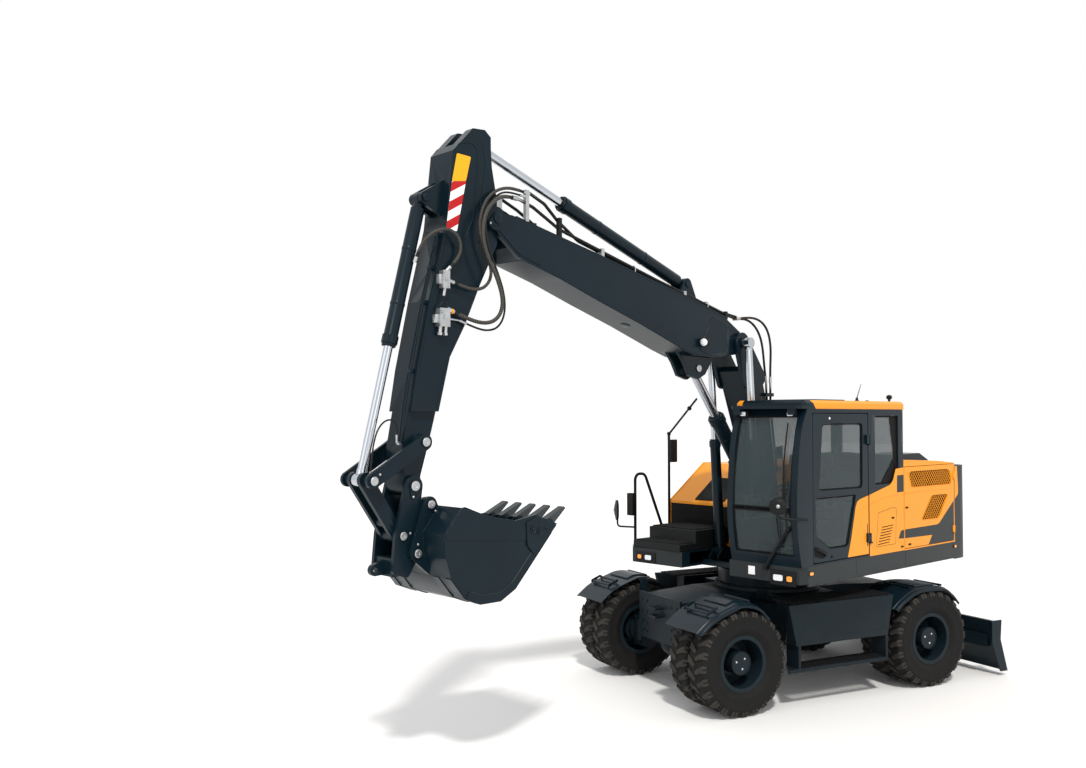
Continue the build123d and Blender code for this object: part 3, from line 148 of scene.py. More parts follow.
def finish(name, colour, rough=0.4, metallic=0.0, coat=0.0, mottle=0.18, mottle_size=2.4, grain=0.0,
           grain_size=180.0, dust=0.0, dust_top=1.3, alpha=1.0, glow=0.0, specular=0.5):
    """A procedural finish: clouded colour, uneven gloss, fine grain and dust that thins with height."""
    mat = bpy.data.materials.new(name)
    mat.use_nodes = True
    tree = mat.node_tree
    place = wired(tree, "ShaderNodeTexCoord").outputs["Object"]

    def noise(scale, detail):
        return wired(tree, "ShaderNodeTexNoise", {"Scale": scale, "Detail": detail, "Vector": place}).outputs["Fac"]
    cloud = noise(mottle_size, 5.0)
    shade = wired(tree, "ShaderNodeMix", {"A": (*[c * (1 - mottle) for c in colour], 1.0),
                                          "B": (*[min(1.0, c * (1 + mottle)) for c in colour], 1.0),
                                          "Factor": cloud}, data_type="RGBA")
    gloss = wired(tree, "ShaderNodeMapRange", {"To Min": rough * 0.8, "To Max": min(1.0, rough * 1.25),
            "Value": cloud})
    if dust:
        split = wired(tree, "ShaderNodeSeparateXYZ", {"Vector": place})
        height = wired(tree, "ShaderNodeMapRange", {"From Min": 0.0, "From Max": dust_top, "To Min": dust,
                                                    "To Max": 0.0, "Value": split.outputs["Z"]})
        cover = wired(tree, "ShaderNodeMath", {0: height.outputs["Result"], 1: noise(9.0, 8.0)},
                      operation="MULTIPLY")
        shade = wired(tree, "ShaderNodeMix", {"A": shade.outputs["Result"], "B": (0.3, 0.26, 0.21, 1.0),
                                              "Factor": cover.outputs["Value"]}, data_type="RGBA")
    inputs = {"Base Color": shade.outputs["Result"], "Roughness": gloss.outputs["Result"], "Metallic": metallic,
              "Coat Weight": coat, "Coat Roughness": 0.12, "Specular IOR Level": specular, "Alpha": alpha}
    if grain:
        bump = wired(tree, "ShaderNodeBump", {"Strength": grain, "Distance": 0.002,
                                              "Height": noise(grain_size, 3.0)})
        inputs["Normal"] = bump.outputs["Normal"]
    if glow:
        inputs.update({"Emission Color": (*colour, 1.0), "Emission Strength": glow})
    feed(tree, tree.nodes["Principled BSDF"], inputs)
    return mat


FINISHES = {
    "petrol": ("dark_paint", "petrol enamel", (0.003, 0.01, 0.0155), 0.3,
               dict(coat=0.06, mottle=0.25, grain=0.05, grain_size=60, dust=0.02, specular=0.14)),
    # under: the petrol enamel made darker for the undercarriage, as painted shade under the deck, with a little
    # more dust
    "under": ("dark_paint", "petrol chassis enamel", (0.003, 0.0085, 0.0125), 0.4,
              dict(coat=0.03, mottle=0.3, grain=0.08, grain_size=60, dust=0.03, specular=0.13)),
    "slate": ("grey_paint", "slate enamel", (0.015, 0.019, 0.0205), 0.38,
              dict(coat=0.05, specular=0.17, mottle=0.12, grain=0.05, grain_size=60)),
    "yellow": ("yellow_paint", "warm yellow enamel", (0.74, 0.262, 0.003), 0.32,
               dict(coat=0.08, specular=0.25, mottle=0.05, grain=0.03, grain_size=50)),
    "rim": ("rim_paint", "rim enamel", (0.0032, 0.01, 0.015), 0.42,
            dict(coat=0.03, mottle=0.25, dust=0.03, specular=0.15)),
    "rubber": ("rubber", "tyre rubber", (0.0058, 0.0058, 0.0062), 0.74,
               dict(mottle=0.3, mottle_size=14, grain=0.35, grain_size=240, dust=0.02, dust_top=1.6,
                    specular=0.16)),
    "tread": ("rubber", "scuffed tread", (0.03, 0.027, 0.024), 0.8,
              dict(mottle=0.5, mottle_size=22, grain=0.5, grain_size=260, specular=0.2)),
    "chrome": ("chrome", "hard chrome", (0.5, 0.53, 0.57), 0.16, dict(metallic=1.0, mottle=0.05)),
    "zinc": ("galvanised", "zinc plate", (0.46, 0.47, 0.48), 0.36, dict(metallic=0.9, mottle=0.2, mottle_size=20)),
    "black": ("black_steel", "black steel", (0.0045, 0.0052, 0.0058), 0.5,
              dict(mottle=0.25, grain=0.1, specular=0.2)),
    "plastic": ("black_steel", "black moulding", (0.006, 0.0065, 0.007), 0.55,
                dict(mottle=0.15, grain=0.25, grain_size=400, specular=0.2)),
    "seal": ("rubber", "window seal", (0.003, 0.003, 0.003), 0.7, dict(mottle=0.2, specular=0.15)),
    "hose": ("hose_rubber", "hose jacket", (0.0065, 0.0062, 0.006), 0.5,
             dict(mottle=0.2, mottle_size=30, specular=0.25)),
    "guard": ("hose_rubber", "spiral guard", (0.05, 0.044, 0.036), 0.5, dict(mottle=0.2, mottle_size=30)),
    "teeth": ("tooth_steel", "cast tooth steel", (0.03, 0.038, 0.042), 0.5,
              dict(metallic=0.3, mottle=0.4, mottle_size=12, grain=0.5, grain_size=90)),
    "cloth": ("seat_fabric", "seat cloth", (0.008, 0.009, 0.01), 0.9,
              dict(mottle=0.3, mottle_size=60, grain=0.9, grain_size=900, specular=0.2)),
    "grey": ("black_steel", "cab trim", (0.02, 0.022, 0.023), 0.6, dict(mottle=0.1, grain=0.3, grain_size=300)),
    "white": ("lamp_lens", "reflective white", (0.8, 0.8, 0.8), 0.45, dict(mottle=0.03)),
    "red": ("tail_lens", "reflective red", (0.42, 0.006, 0.008), 0.42, dict(mottle=0.06, specular=0.25)),
    "plate": ("yellow_paint", "plain yellow plate", (0.8, 0.36, 0.004), 0.4, dict(mottle=0.03, specular=0.3)),
    "lens": ("lamp_lens", "lamp lens", (0.72, 0.75, 0.78), 0.16,
             dict(metallic=0.25, mottle=0.1, mottle_size=70, grain=0.5, grain_size=260)),
    "amber": ("amber_lens", "amber lens", (0.85, 0.28, 0.02), 0.2,
              dict(coat=0.5, mottle=0.15, mottle_size=60, glow=0.15)),
    "tail": ("tail_lens", "red lens", (0.55, 0.02, 0.015), 0.2,
             dict(coat=0.5, mottle=0.15, mottle_size=60, glow=0.1)),
    "glass": ("glass", "tinted glass", (0.03, 0.05, 0.056), 0.03, dict(mottle=0.05, alpha=0.42, specular=0.5)),
    "mirror": ("chrome", "mirror glass", (0.75, 0.8, 0.84), 0.04, dict(metallic=1.0, mottle=0.02)),
    "grit": ("black_steel", "anti-slip grit", (0.006, 0.0065, 0.007), 0.85,
             dict(mottle=0.3, mottle_size=40, grain=0.9, grain_size=300, specular=0.2)),
}
PAINT = {key: finish(label, colour, rough, **options)
         for key, (_, label, colour, rough, options) in FINISHES.items()}


# ------------------------------------------------------------------ shapes
class Shape:
    """A mesh being drawn. With under=True it is drawn along the chassis and turned when it is finished."""

    def __init__(self, under=False):
        self.bm = bmesh.new()
        self.under = under

    def faces(self, points, loops):
        """Corners and faces as index tuples."""
        verts = [self.bm.verts.new(p) for p in points]
        for loop in loops:
            self.bm.faces.new([verts[i] for i in loop])
        return verts

    def stacked(self, rings):
        """The skin over rings of points, with both ends closed."""
        n, last = len(rings[0]), len(rings) - 1
        loops = [(k * n + j, k * n + (j + 1) % n, (k + 1) * n + (j + 1) % n, (k + 1) * n + j)
                 for k in range(last) for j in range(n)]
        self.faces([p for ring in rings for p in ring], loops + [tuple(reversed(range(n))),
                                                                 tuple(last * n + j for j in range(n))])
        return self

    def slab(self, outline, y0, y1):
        """A side outline (x, z) from y0 to y1."""
        return self.stacked([[(x, y, z) for x, z in outline] for y in (y0, y1)])

    def box(self, x0, x1, y0, y1, z0, z1):
        """A block between two corners."""
        return self.slab([(x0, z0), (x1, z0), (x1, z1), (x0, z1)], y0, y1)

    def boxes(self, *rows):
        """Several blocks."""
        for row in rows:
            self.box(*row)
        return self

    def prism(self, outline, shift):
        """A flat outline of 3-D points, swept by shift."""
        move = Vector(shift)
        return self.stacked([[Vector(p) for p in outline], [Vector(p) + move for p in outline]])

    def turned(self, profile, at, axis=(0, 1, 0), steps=40, closed=False):
        """A profile (radius, distance along the axis) spun about the axis through at."""
        way = Vector(axis).normalized()
        side = way.orthogonal().normalized()
        other = way.cross(side)
        at = Vector(at)
        points = []
        for k in range(steps):
            out = side * cos(tau * k / steps) + other * sin(tau * k / steps)
            points += [tuple(at + way * d + out * max(r, 1e-5)) for r, d in profile]
        m = len(profile)
        loops = []
        for k in range(steps):
            for j in range(m if closed else m - 1):
                a, b = k * m + j, k * m + (j + 1) % m
                c, d = ((k + 1) % steps) * m + (j + 1) % m, ((k + 1) % steps) * m + j
                loops.append((a, b, c, d))
        if not closed:
            loops.append(tuple(k * m for k in reversed(range(steps))))
            loops.append(tuple(k * m + m - 1 for k in range(steps)))
        self.faces(points, loops)
        return self

    def bar(self, a, b, radius, sides=18, end=None):
        """A round bar or cone from a to b."""
        a, b = Vector(a), Vector(b)
        return self.turned([(radius, 0), (radius if end is None else end, (b - a).length)], a, b - a, sides)

    def pipe(self, points, radius, sides=10):
        """A bent tube through the points, with short bends."""
        return self.stacked(rings_along(rounded(points, radius * 3.0), radius, sides))

    def pierced(self, outline, holes, y0, y1):
        """A side plate (x, z) with openings, from y0 to y1."""
        edges, twin, rings = [], {}, []
        for ring in [outline] + list(holes):
            low = [self.bm.verts.new((x, y0, z)) for x, z in ring]
            for v in low:
                twin[v] = self.bm.verts.new((v.co.x, y1, v.co.z))
            edges += [self.bm.edges.new((low[i], low[(i + 1) % len(low)])) for i in range(len(low))]
            rings.append(low)
        made = bmesh.ops.triangle_fill(self.bm, edges=edges, use_beauty=True, normal=(0, 1, 0))
        for face in [f for f in made["geom"] if isinstance(f, bmesh.types.BMFace)]:
            self.bm.faces.new([twin[v] for v in reversed(face.verts)])
        for low in rings:
            for i, v in enumerate(low):
                w = low[(i + 1) % len(low)]
                self.bm.faces.new((v, w, twin[w], twin[v]))
        return self

    def link(self, circles, y0, y1, steps=14):
        """A plate that wraps round circles (x, z, radius)."""
        cloud = []
        for x, z, r in circles:
            cloud += [(x + r * cos(tau * k / (steps * 2)), z + r * sin(tau * k / (steps * 2)))
                      for k in range(steps * 2)]
        return self.slab(hull(cloud), y0, y1)


def hull(cloud):
    """Corners of the outline round flat points, in order."""
    points = sorted(set((round(x, 6), round(z, 6)) for x, z in cloud))

    def half(seq):
        out = []
        for p in seq:
            while len(out) > 1:
                (ax, az), (bx, bz) = out[-2], out[-1]
                if (bx - ax) * (p[1] - az) - (bz - az) * (p[0] - ax) > 1e-12:
                    break
                out.pop()
            out.append(p)
        return out[:-1]
    return half(points) + half(points[::-1])


def bend(a, b, c, radius, share, steps):
    """Points of the bend at b on the way from a to c, which takes no more than a share of either length."""
    back, on = a - b, c - b
    cut = min(radius, back.length * share, on.length * share)
    p, q = b + back.normalized() * cut, b + on.normalized() * cut
    times = [k / steps for k in range(steps + 1)]
    return [p * (1 - t) ** 2 + b * 2 * t * (1 - t) + q * t ** 2 for t in times]


def rounded(points, radius):
    """The points with each corner made a short bend."""
    points = [Vector(p) for p in points]
    line = [points[0]]
    for a, b, c in zip(points, points[1:], points[2:]):
        line += bend(a, b, c, radius, 0.45, 5)
    return line + [points[-1]]


def eased(outline, radius):
    """A closed flat outline with its corners rounded."""
    corners = [Vector(p) for p in outline]
    line = []
    for a, b, c in zip(corners[-1:] + corners, corners, corners[1:] + corners[:1]):
        line += [tuple(p) for p in bend(a, b, c, radius, 0.48, 4)]
    return line


def turning(outline):
    """1 for an outline that goes anticlockwise, -1 for a clockwise one."""
    area = sum(p[0] * q[1] - q[0] * p[1] for p, q in zip(outline, list(outline[1:]) + [outline[0]]))
    return 1 if area > 0 else -1


def shrunk(outline, by):
    """A convex flat outline drawn in by a distance."""
    n = len(outline)
    turn = turning(outline)
    sides = []
    for i in range(n):
        a, b = Vector(outline[i]), Vector(outline[(i + 1) % n])
        way = (b - a).normalized()
        sides.append((a + Vector((-way.y, way.x)) * by * turn, way))
    points = []
    for i in range(n):
        (p, d), (q, e) = sides[i - 1], sides[i]
        cross = d.x * e.y - d.y * e.x
        if abs(cross) < 1e-6:
            points.append(tuple(q))
            continue
        t = ((q.x - p.x) * e.y - (q.y - p.y) * e.x) / cross
        points.append(tuple(p + d * t))
    return points


def rings_along(line, radius, sides):
    """Rings of points round a line, without twist."""
    rings = []
    normal = None
    for k, p in enumerate(line):
        ahead = line[min(k + 1, len(line) - 1)] - line[max(k - 1, 0)]
        ahead = ahead.normalized() if ahead.length > 1e-9 else Vector((0, 0, 1))
        if normal is None:
            normal = ahead.orthogonal().normalized()
        normal = (normal - ahead * normal.dot(ahead)).normalized()
        other = ahead.cross(normal)
        rings.append([p + (normal * cos(tau * j / sides) + other * sin(tau * j / sides)) * radius
                      for j in range(sides)])
    return rings


def plain(obj):
    """Turn an object's evaluated shape into a plain mesh and take its modifiers off."""
    depsgraph = bpy.context.evaluated_depsgraph_get()
    depsgraph.update()
    mesh = bpy.data.meshes.new_from_object(obj.evaluated_get(depsgraph))
    old = obj.data
    obj.modifiers.clear()
    obj.data = mesh
    mesh.name = obj.name
    bpy.data.meshes.remove(old)
    return obj


def smooth(mesh, degrees):
    """Smooth shading with sharp edges kept above an angle."""
    mesh.shade_smooth()
    mesh.set_sharp_from_angle(angle=radians(degrees))


def soften(obj, width, segments=2):
    """Round the hard edges."""
    bevel = obj.modifiers.new("edges", "BEVEL")
    bevel.width = width
    bevel.segments = segments
    bevel.limit_method = "ANGLE"
    bevel.angle_limit = radians(32)
    bevel.miter_outer = "MITER_ARC"
    bevel.harden_normals = True
    return plain(obj)


def place(name, shape, paint, body, bevel=0.0, angle=35, stands_for=(), segments=2):
    """Finish a drawn shape as one piece of a body."""
    bmesh.ops.recalc_face_normals(shape.bm, faces=shape.bm.faces)
    if shape.under:
        bmesh.ops.transform(shape.bm, matrix=SLEW, verts=shape.bm.verts)
    mesh = bpy.data.meshes.new(name)
    shape.bm.to_mesh(mesh)
    shape.bm.free()
    obj = added(name, mesh)
    smooth(mesh, angle)
    if bevel:
        soften(obj, bevel, segments)
    obj.data.materials.clear()
    obj.data.materials.append(PAINT[paint])
    return settle(obj, body, stands_for)


def settle(obj, body, stands_for=()):
    """Body and the CAD nodes that a piece stands for."""
    if body:
        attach(obj, body)
    if stands_for:
        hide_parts(*stands_for)
    return obj


def dress(node, paint, bevel=0.005, coats=(), cuts=(), segments=2):
    """A copy of a CAD node with rounded edges, in its finish. A coat is a finish and a test that picks faces."""
    bm = bmesh.new()
    bm.from_mesh(frame["nodes"][node].data)
    bmesh.ops.remove_doubles(bm, verts=bm.verts, dist=2e-5)
    bmesh.ops.dissolve_limit(bm, angle_limit=radians(0.8), verts=bm.verts, edges=bm.edges)
    for at, normal in cuts:
        bmesh.ops.bisect_plane(bm, geom=bm.verts[:] + bm.edges[:] + bm.faces[:], plane_co=at, plane_no=normal)
    mesh = bpy.data.meshes.new(node + "_skin")
    bm.to_mesh(mesh)
    bm.free()
    obj = added(node + "_skin", mesh)
    smooth(mesh, 35)
    if bevel:
        soften(obj, bevel, segments)
    obj.data.materials.clear()
    for finish_name in [paint] + [coat for coat, test in coats]:
        obj.data.materials.append(PAINT[finish_name])
    for face in obj.data.polygons:
        hits = [k for k, (coat, test) in enumerate(coats) if test(face.center, face.normal)]
        face.material_index = hits[0] + 1 if hits else 0
    return settle(obj, BODY_OF[node], (node,))


# ------------------------------------------------------------------ Geometry Nodes: what repeats
def tree_of(name, **inputs):
    """A new node tree for a modifier: a Geometry input, the named inputs and a Finish, a Geometry output."""
    tree = bpy.data.node_groups.new(name, "GeometryNodeTree")
    for label, kind in {"Geometry": "Geometry", **inputs, "Finish": "Material"}.items():
        tree.interface.new_socket(label, in_out="INPUT", socket_type="NodeSocket" + kind)
    tree.interface.new_socket("Geometry", in_out="OUTPUT", socket_type="NodeSocketGeometry")
    return tree, tree.nodes.new("NodeGroupInput").outputs


def end_tree(tree, given, geometry):
    """Close a tree with Realize Instances and Set Material."""
    real = wired(tree, "GeometryNodeRealizeInstances", {"Geometry": geometry})
    paint = wired(tree, "GeometryNodeSetMaterial", {"Geometry": real.outputs["Geometry"],
            "Material": given["Finish"]})
    wired(tree, "NodeGroupOutput", {0: paint.outputs["Geometry"]})
    return tree


def scatter(tree, given, points, **inputs):
    """Stand the given piece on points, and close the tree."""
    info = wired(tree, "GeometryNodeObjectInfo", {"Object": given["Piece"]})
    put = wired(tree, "GeometryNodeInstanceOnPoints", {"Points": points, "Instance": info.outputs["Geometry"],
            **inputs})
    return end_tree(tree, given, put.outputs["Instances"])


def ring_tree():
    """Copies of a piece turned about the Y axis through the origin."""
    tree, given = tree_of("ring of pieces", Piece="Object", Count="Int")
    line = wired(tree, "GeometryNodeMeshLine", {"Offset": (0, 0, 0), "Count": given["Count"]})
    index = wired(tree, "GeometryNodeInputIndex").outputs[0]
    share = wired(tree, "ShaderNodeMath", {0: index, 1: given["Count"]}, operation="DIVIDE")
    angle = wired(tree, "ShaderNodeMath", {0: share.outputs[0], 1: tau}, operation="MULTIPLY")
    turn = wired(tree, "ShaderNodeCombineXYZ", {"Y": angle.outputs[0]})
    return scatter(tree, given, line.outputs["Mesh"], Rotation=turn.outputs[0])


def row_tree():
    """Copies of a piece in a straight row."""
    tree, given = tree_of("row of pieces", Piece="Object", Count="Int", Step="Vector")
    line = wired(tree, "GeometryNodeMeshLine", {"Count": given["Count"], "Offset": given["Step"]})
    return scatter(tree, given, line.outputs["Mesh"])


def fastener_tree():
    """A piece stood on each point of the host mesh, its Z axis along the point's own 'aim'."""
    tree, given = tree_of("fasteners", Piece="Object", Scale="Float")
    aim = wired(tree, "GeometryNodeInputNamedAttribute", {"Name": "aim"}, data_type="FLOAT_VECTOR")
    turn = wired(tree, "FunctionNodeAlignRotationToVector", {"Vector": aim.outputs["Attribute"]}, axis="Z")
    return scatter(tree, given, given["Geometry"], Rotation=turn.outputs["Rotation"], Scale=given["Scale"])


def wire_tree():
    """Round or square wire along the host mesh's edges."""
    tree, given = tree_of("wire along edges", Radius="Float", Sides="Int")
    curve = wired(tree, "GeometryNodeMeshToCurve", {"Mesh": given["Geometry"]})
    circle = wired(tree, "GeometryNodeCurvePrimitiveCircle", {"Resolution": given["Sides"],
            "Radius": given["Radius"]})
    tube = wired(tree, "GeometryNodeCurveToMesh", {"Fill Caps": True, "Curve": curve.outputs["Curve"],
                                                   "Profile Curve": circle.outputs["Curve"]})
    return end_tree(tree, given, tube.outputs["Mesh"])


UP = (0, 0, 1)
TREES = {"ring": ring_tree(), "row": row_tree(), "fastener": fastener_tree(), "wire": wire_tree()}


def grow(obj, kind, **values):
    """Run a tree on an object and keep the plain result."""
    tree = TREES[kind]
    modifier = obj.modifiers.new(kind, "NODES")
    modifier.node_group = tree
    for item in tree.interface.items_tree:
        if item.in_out == "INPUT" and item.name in values:
            modifier[item.identifier] = values[item.name]
    return plain(obj)


def bare(name, shape=None, points=(), edges=(), aims=None):
    """A helper object: a drawn shape or loose points, in place at the origin."""
    mesh = bpy.data.meshes.new(name)
    if shape:
        bmesh.ops.recalc_face_normals(shape.bm, faces=shape.bm.faces)
        shape.bm.to_mesh(mesh)
        shape.bm.free()
    else:
        mesh.from_pydata(points, edges, [])
    if aims:
        attribute = mesh.attributes.new("aim", "FLOAT_VECTOR", "POINT")
        attribute.data.foreach_set("vector", [c for aim in aims for c in aim])
    obj = added(name, mesh)
    return obj


def drop(*objs):
    """Remove helper objects."""
    for obj in objs:
        bpy.data.objects.remove(obj)


def move_mesh(obj, matrix):
    """Set a finished mesh in its place."""
    obj.data.transform(matrix)
    return obj


def bolt_head():
    """A hexagon head on a washer, one unit across the flats, standing on Z."""
    head = Shape()
    head.turned([(0.0, 0.0), (0.85, 0.0), (0.85, 0.12), (0.0, 0.12)], (0, 0, 0), UP, 16)
    head.turned([(0.0, 0.1), (0.58, 0.1), (0.58, 0.44), (0.5, 0.52), (0.0, 0.52)], (0, 0, 0), UP, 6)
    return bare("bolt_head", head)


def bolts(name, body, rows, size, paint="zinc", under=False):
    """Bolt heads at points, each with the way that it faces."""
    head = bolt_head()
    points = [p for p, way in rows]
    aims = [way for p, way in rows]
    obj = bare(name, points=points, aims=aims)
    grow(obj, "fastener", Piece=head, Scale=size, Finish=PAINT[paint])
    drop(head)
    if under:
        move_mesh(obj, SLEW)
    smooth(obj.data, 30)
    return settle(obj, body)


def repeated(name, piece, count, step, paint, body, matrix=None, angle=None):
    """A straight row of copies of a small piece."""
    seed = bare(name + "_piece", piece)
    row = bare(name, points=[(0, 0, 0)])
    grow(row, "row", Piece=seed, Count=count, Step=step, Finish=PAINT[paint])
    drop(seed)
    if matrix:
        move_mesh(row, matrix)
    if angle:
        smooth(row.data, angle)
    return settle(row, body)


def pill(x, z, half_wide, half_high, ease):
    """Outline of a small oblong with rounded corners."""
    return eased([(x - half_wide, z - half_high), (x + half_wide, z - half_high), (x + half_wide, z + half_high),
                  (x - half_wide, z + half_high)], ease)


def wire_loop(radius, wire):
    """Profile for turned(): a round wire bent to a ring."""
    return [(radius + wire * cos(tau * k / 10), wire * sin(tau * k / 10)) for k in range(10)]


def circle_rows(at, axis, radius, count, start=0.0):
    """Rows for bolts(): a circle of points that all face along the axis."""
    way = Vector(axis).normalized()
    side = way.orthogonal().normalized()
    other = way.cross(side)
    rows = []
    for k in range(count):
        t = start + tau * k / count
        rows.append((tuple(Vector(at) + (side * cos(t) + other * sin(t)) * radius), tuple(way)))
    return rows


# ------------------------------------------------------------------ hoses
HOSES = {  # radius, length, spiral guard, the two bodies that hold it, points of its route
    "hose_arm_feed": (0.016, 1.867, True, "upper_boom", "arm", [
        (4.081, 0.192, 4.949), (4.183, 0.207, 4.947), (4.286, 0.24, 4.908), (4.384, 0.268, 4.838),
        (4.465, 0.288, 4.742), (4.503, 0.3, 4.612), (4.497, 0.306, 4.48), (4.45, 0.31, 4.355),
        (4.378, 0.314, 4.238), (4.32, 0.314, 4.115), (4.284, 0.31, 3.998), (4.3, 0.3, 3.885),
        (4.37, 0.279, 3.812), (4.475, 0.25, 3.798), (4.6, 0.22, 3.83), (4.735, 0.2, 3.88),
    ]),
    "hose_arm_return": (0.013, 1.627, True, "upper_boom", "arm", [
        (3.948, 0.192, 5.02), (4.06, 0.194, 5.033), (4.178, 0.196, 5.021), (4.292, 0.199, 4.972),
        (4.386, 0.206, 4.888), (4.448, 0.216, 4.775), (4.48, 0.222, 4.65), (4.46, 0.226, 4.53),
        (4.412, 0.228, 4.418), (4.352, 0.229, 4.3), (4.353, 0.228, 4.19), (4.425, 0.222, 4.105),
        (4.535, 0.21, 4.085), (4.64, 0.202, 4.105), (4.735, 0.2, 4.13),
    ]),
    "hose_bucket_cylinder": (0.013, 0.82, True, "arm", "bucket_barrel", [
        (4.775, 0.2, 4.258), (4.712, 0.202, 4.318), (4.668, 0.208, 4.398), (4.68, 0.218, 4.488),
        (4.745, 0.226, 4.553), (4.835, 0.224, 4.575), (4.925, 0.205, 4.548), (4.995, 0.17, 4.49),
        (5.03, 0.128, 4.415), (5.045, 0.095, 4.33),
    ]),
    "hose_knee_low": (0.013, 0.937, False, "upper_boom", "lower_boom", [
        (0.708, 0.125, 4.084), (0.615, 0.126, 4.092), (0.52, 0.128, 4.082), (0.43, 0.131, 4.045),
        (0.35, 0.134, 3.98), (0.29, 0.136, 3.89), (0.255, 0.136, 3.785), (0.235, 0.134, 3.675),
        (0.213, 0.13, 3.565), (0.19, 0.125, 3.46),
    ]),
    "hose_knee_high": (0.013, 1.092, False, "upper_boom", "lower_boom", [
        (0.72, 0.165, 4.088), (0.62, 0.166, 4.1), (0.515, 0.167, 4.108), (0.405, 0.168, 4.1),
        (0.3, 0.169, 4.065), (0.215, 0.17, 3.995), (0.165, 0.17, 3.895), (0.145, 0.17, 3.78),
        (0.145, 0.168, 3.665), (0.15, 0.166, 3.55), (0.15, 0.165, 3.45),
    ]),
    "hose_coupler": (0.007, 0.66, False, "arm", "rocker", [
        (5.228, 0.084, 2.85), (5.232, 0.088, 2.91), (5.258, 0.095, 2.958), (5.31, 0.103, 2.976),
        (5.374, 0.11, 2.955), (5.424, 0.116, 2.905), (5.456, 0.12, 2.842), (5.476, 0.123, 2.772),
        (5.488, 0.125, 2.7), (5.496, 0.125, 2.627), (5.501, 0.125, 2.56),
    ]),
    "hose_arm_drain": (0.009, 1.889, False, "upper_boom", "arm", [
        (3.99, 0.192, 4.984), (4.1, 0.192, 4.995), (4.212, 0.195, 4.975), (4.31, 0.208, 4.905),
        (4.382, 0.226, 4.815), (4.424, 0.243, 4.702), (4.432, 0.255, 4.58), (4.405, 0.261, 4.458),
        (4.355, 0.265, 4.342), (4.296, 0.266, 4.225), (4.246, 0.265, 4.105), (4.218, 0.261, 3.985),
        (4.228, 0.256, 3.862), (4.29, 0.246, 3.768), (4.392, 0.232, 3.738), (4.5, 0.216, 3.754),
        (4.6, 0.2, 3.79),
    ]),
}


def along_route(name, points):
    """Points read from the route's smooth NURBS line."""
    data = bpy.data.curves.new(name + "_route", "CURVE")
    data.dimensions = "3D"
    data.resolution_u = 12
    spline = data.splines.new("NURBS")
    spline.points.add(len(points) - 1)
    for knot, place_of in zip(spline.points, points):
        knot.co = (*place_of, 1.0)
    spline.order_u = 3
    spline.use_endpoint_u = True
    route = added(data.name, data)
    mesh = bpy.data.meshes.new_from_object(route)
    line = [v.co.copy() for v in mesh.vertices]
    bpy.data.meshes.remove(mesh)
    drop(route)
    return line


def spiral(line, radius):
    """A plastic band wound round a hose, as one helix."""
    pitch, band, rise = 0.017, 0.011, 0.0022
    axes = rings_along(line, 1.0, 4)
    dist = [0.0]
    for p, q in zip(line, line[1:]):
        dist.append(dist[-1] + (q - p).length)
    start, stop = 0.05, dist[-1] - 0.05
    turns = int((stop - start) / pitch)
    steps = turns * 12
    rings = []
    k = 0
    for i in range(steps + 1):
        s = start + (stop - start) * i / steps
        while dist[k + 1] < s:
            k += 1
        t = (s - dist[k]) / (dist[k + 1] - dist[k])
        centre = line[k].lerp(line[k + 1], t)
        ahead = (line[k + 1] - line[k]).normalized()
        normal = (axes[k][0] - line[k]).lerp(axes[k + 1][0] - line[k + 1], t)
        normal = (normal - ahead * normal.dot(ahead)).normalized()
        angle = tau * i / 12
        out = normal * cos(angle) + ahead.cross(normal) * sin(angle)
        rings.append([centre + ahead * along * band + out * (radius + high - 0.0003)
                      for along, high in ((-0.5, 0.0), (-0.32, rise), (0.32, rise), (0.5, 0.0))])
    return Shape().stacked(rings)


def hoses():
    """The free hoses, each a tube along its NURBS route between the two bodies that hold it."""
    for name, (radius, length, guarded, first, last, points) in HOSES.items():
        line = along_route(name, points)
        tube = Shape().stacked(rings_along(line, radius, 14))
        pieces = [(name + "_jacket", tube, "hose")]
        if guarded:
            pieces.append((name + "_guard", spiral(line, radius), "guard"))
        for label, shape, paint in pieces:
            obj = place(label, shape, paint, None, angle=60)
            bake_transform(obj)
        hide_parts(name)


# ------------------------------------------------------------------ wheels
def lug_pair():
    """One left and one right tread lug of a tyre, at the top of the tyre, half a pitch apart."""
    shape = Shape()
    base, crown = 0.5, TYRE_R - 0.0008
    # along the tread (s) and across it (y)
    block = [(-0.04, 0.119), (0.036, 0.119), (0.05, 0.06), (0.078, 0.016), (0.044, -0.004), (0.004, 0.046)]
    half_pitch = tau / LUGS_ROUND / 2
    centre = (0.012, 0.055)

    def at(s, y, r, side, shift):
        t = s / crown + shift
        return (r * sin(t), side * y, r * cos(t))
    for side, shift in ((1, 0.0), (-1, half_pitch)):
        low = [at(s, y, base, side, shift) for s, y in block]
        top = [at(centre[0] + (s - centre[0]) * 0.88, centre[1] + (y - centre[1]) * 0.93,
                  crown - 0.004 * (y / 0.119) ** 2, side, shift) for s, y in block]
        n = len(block)
        shape.faces(low + top, [tuple(range(n, 2 * n))] + [(i, (i + 1) % n, (i + 1) % n + n, i + n)
                for i in range(n)])
        for s0, s1 in ((-0.038, -0.008), (0.006, 0.034)):
            foot = [at(s, y, r, side, shift) for r, y in ((0.512, 0.112), (0.468, 0.131)) for s in (s0, s1)]
            out = [at(s, y, r, side, shift) for r, y in ((0.519, 0.1185), (0.474, 0.1378)) for s in (s0, s1)]
            shape.faces(foot + out, [(4, 5, 7, 6), (0, 4, 6, 2), (1, 3, 7, 5), (0, 1, 5, 4), (2, 6, 7, 3)])
    return bare("lug_pair", shape)


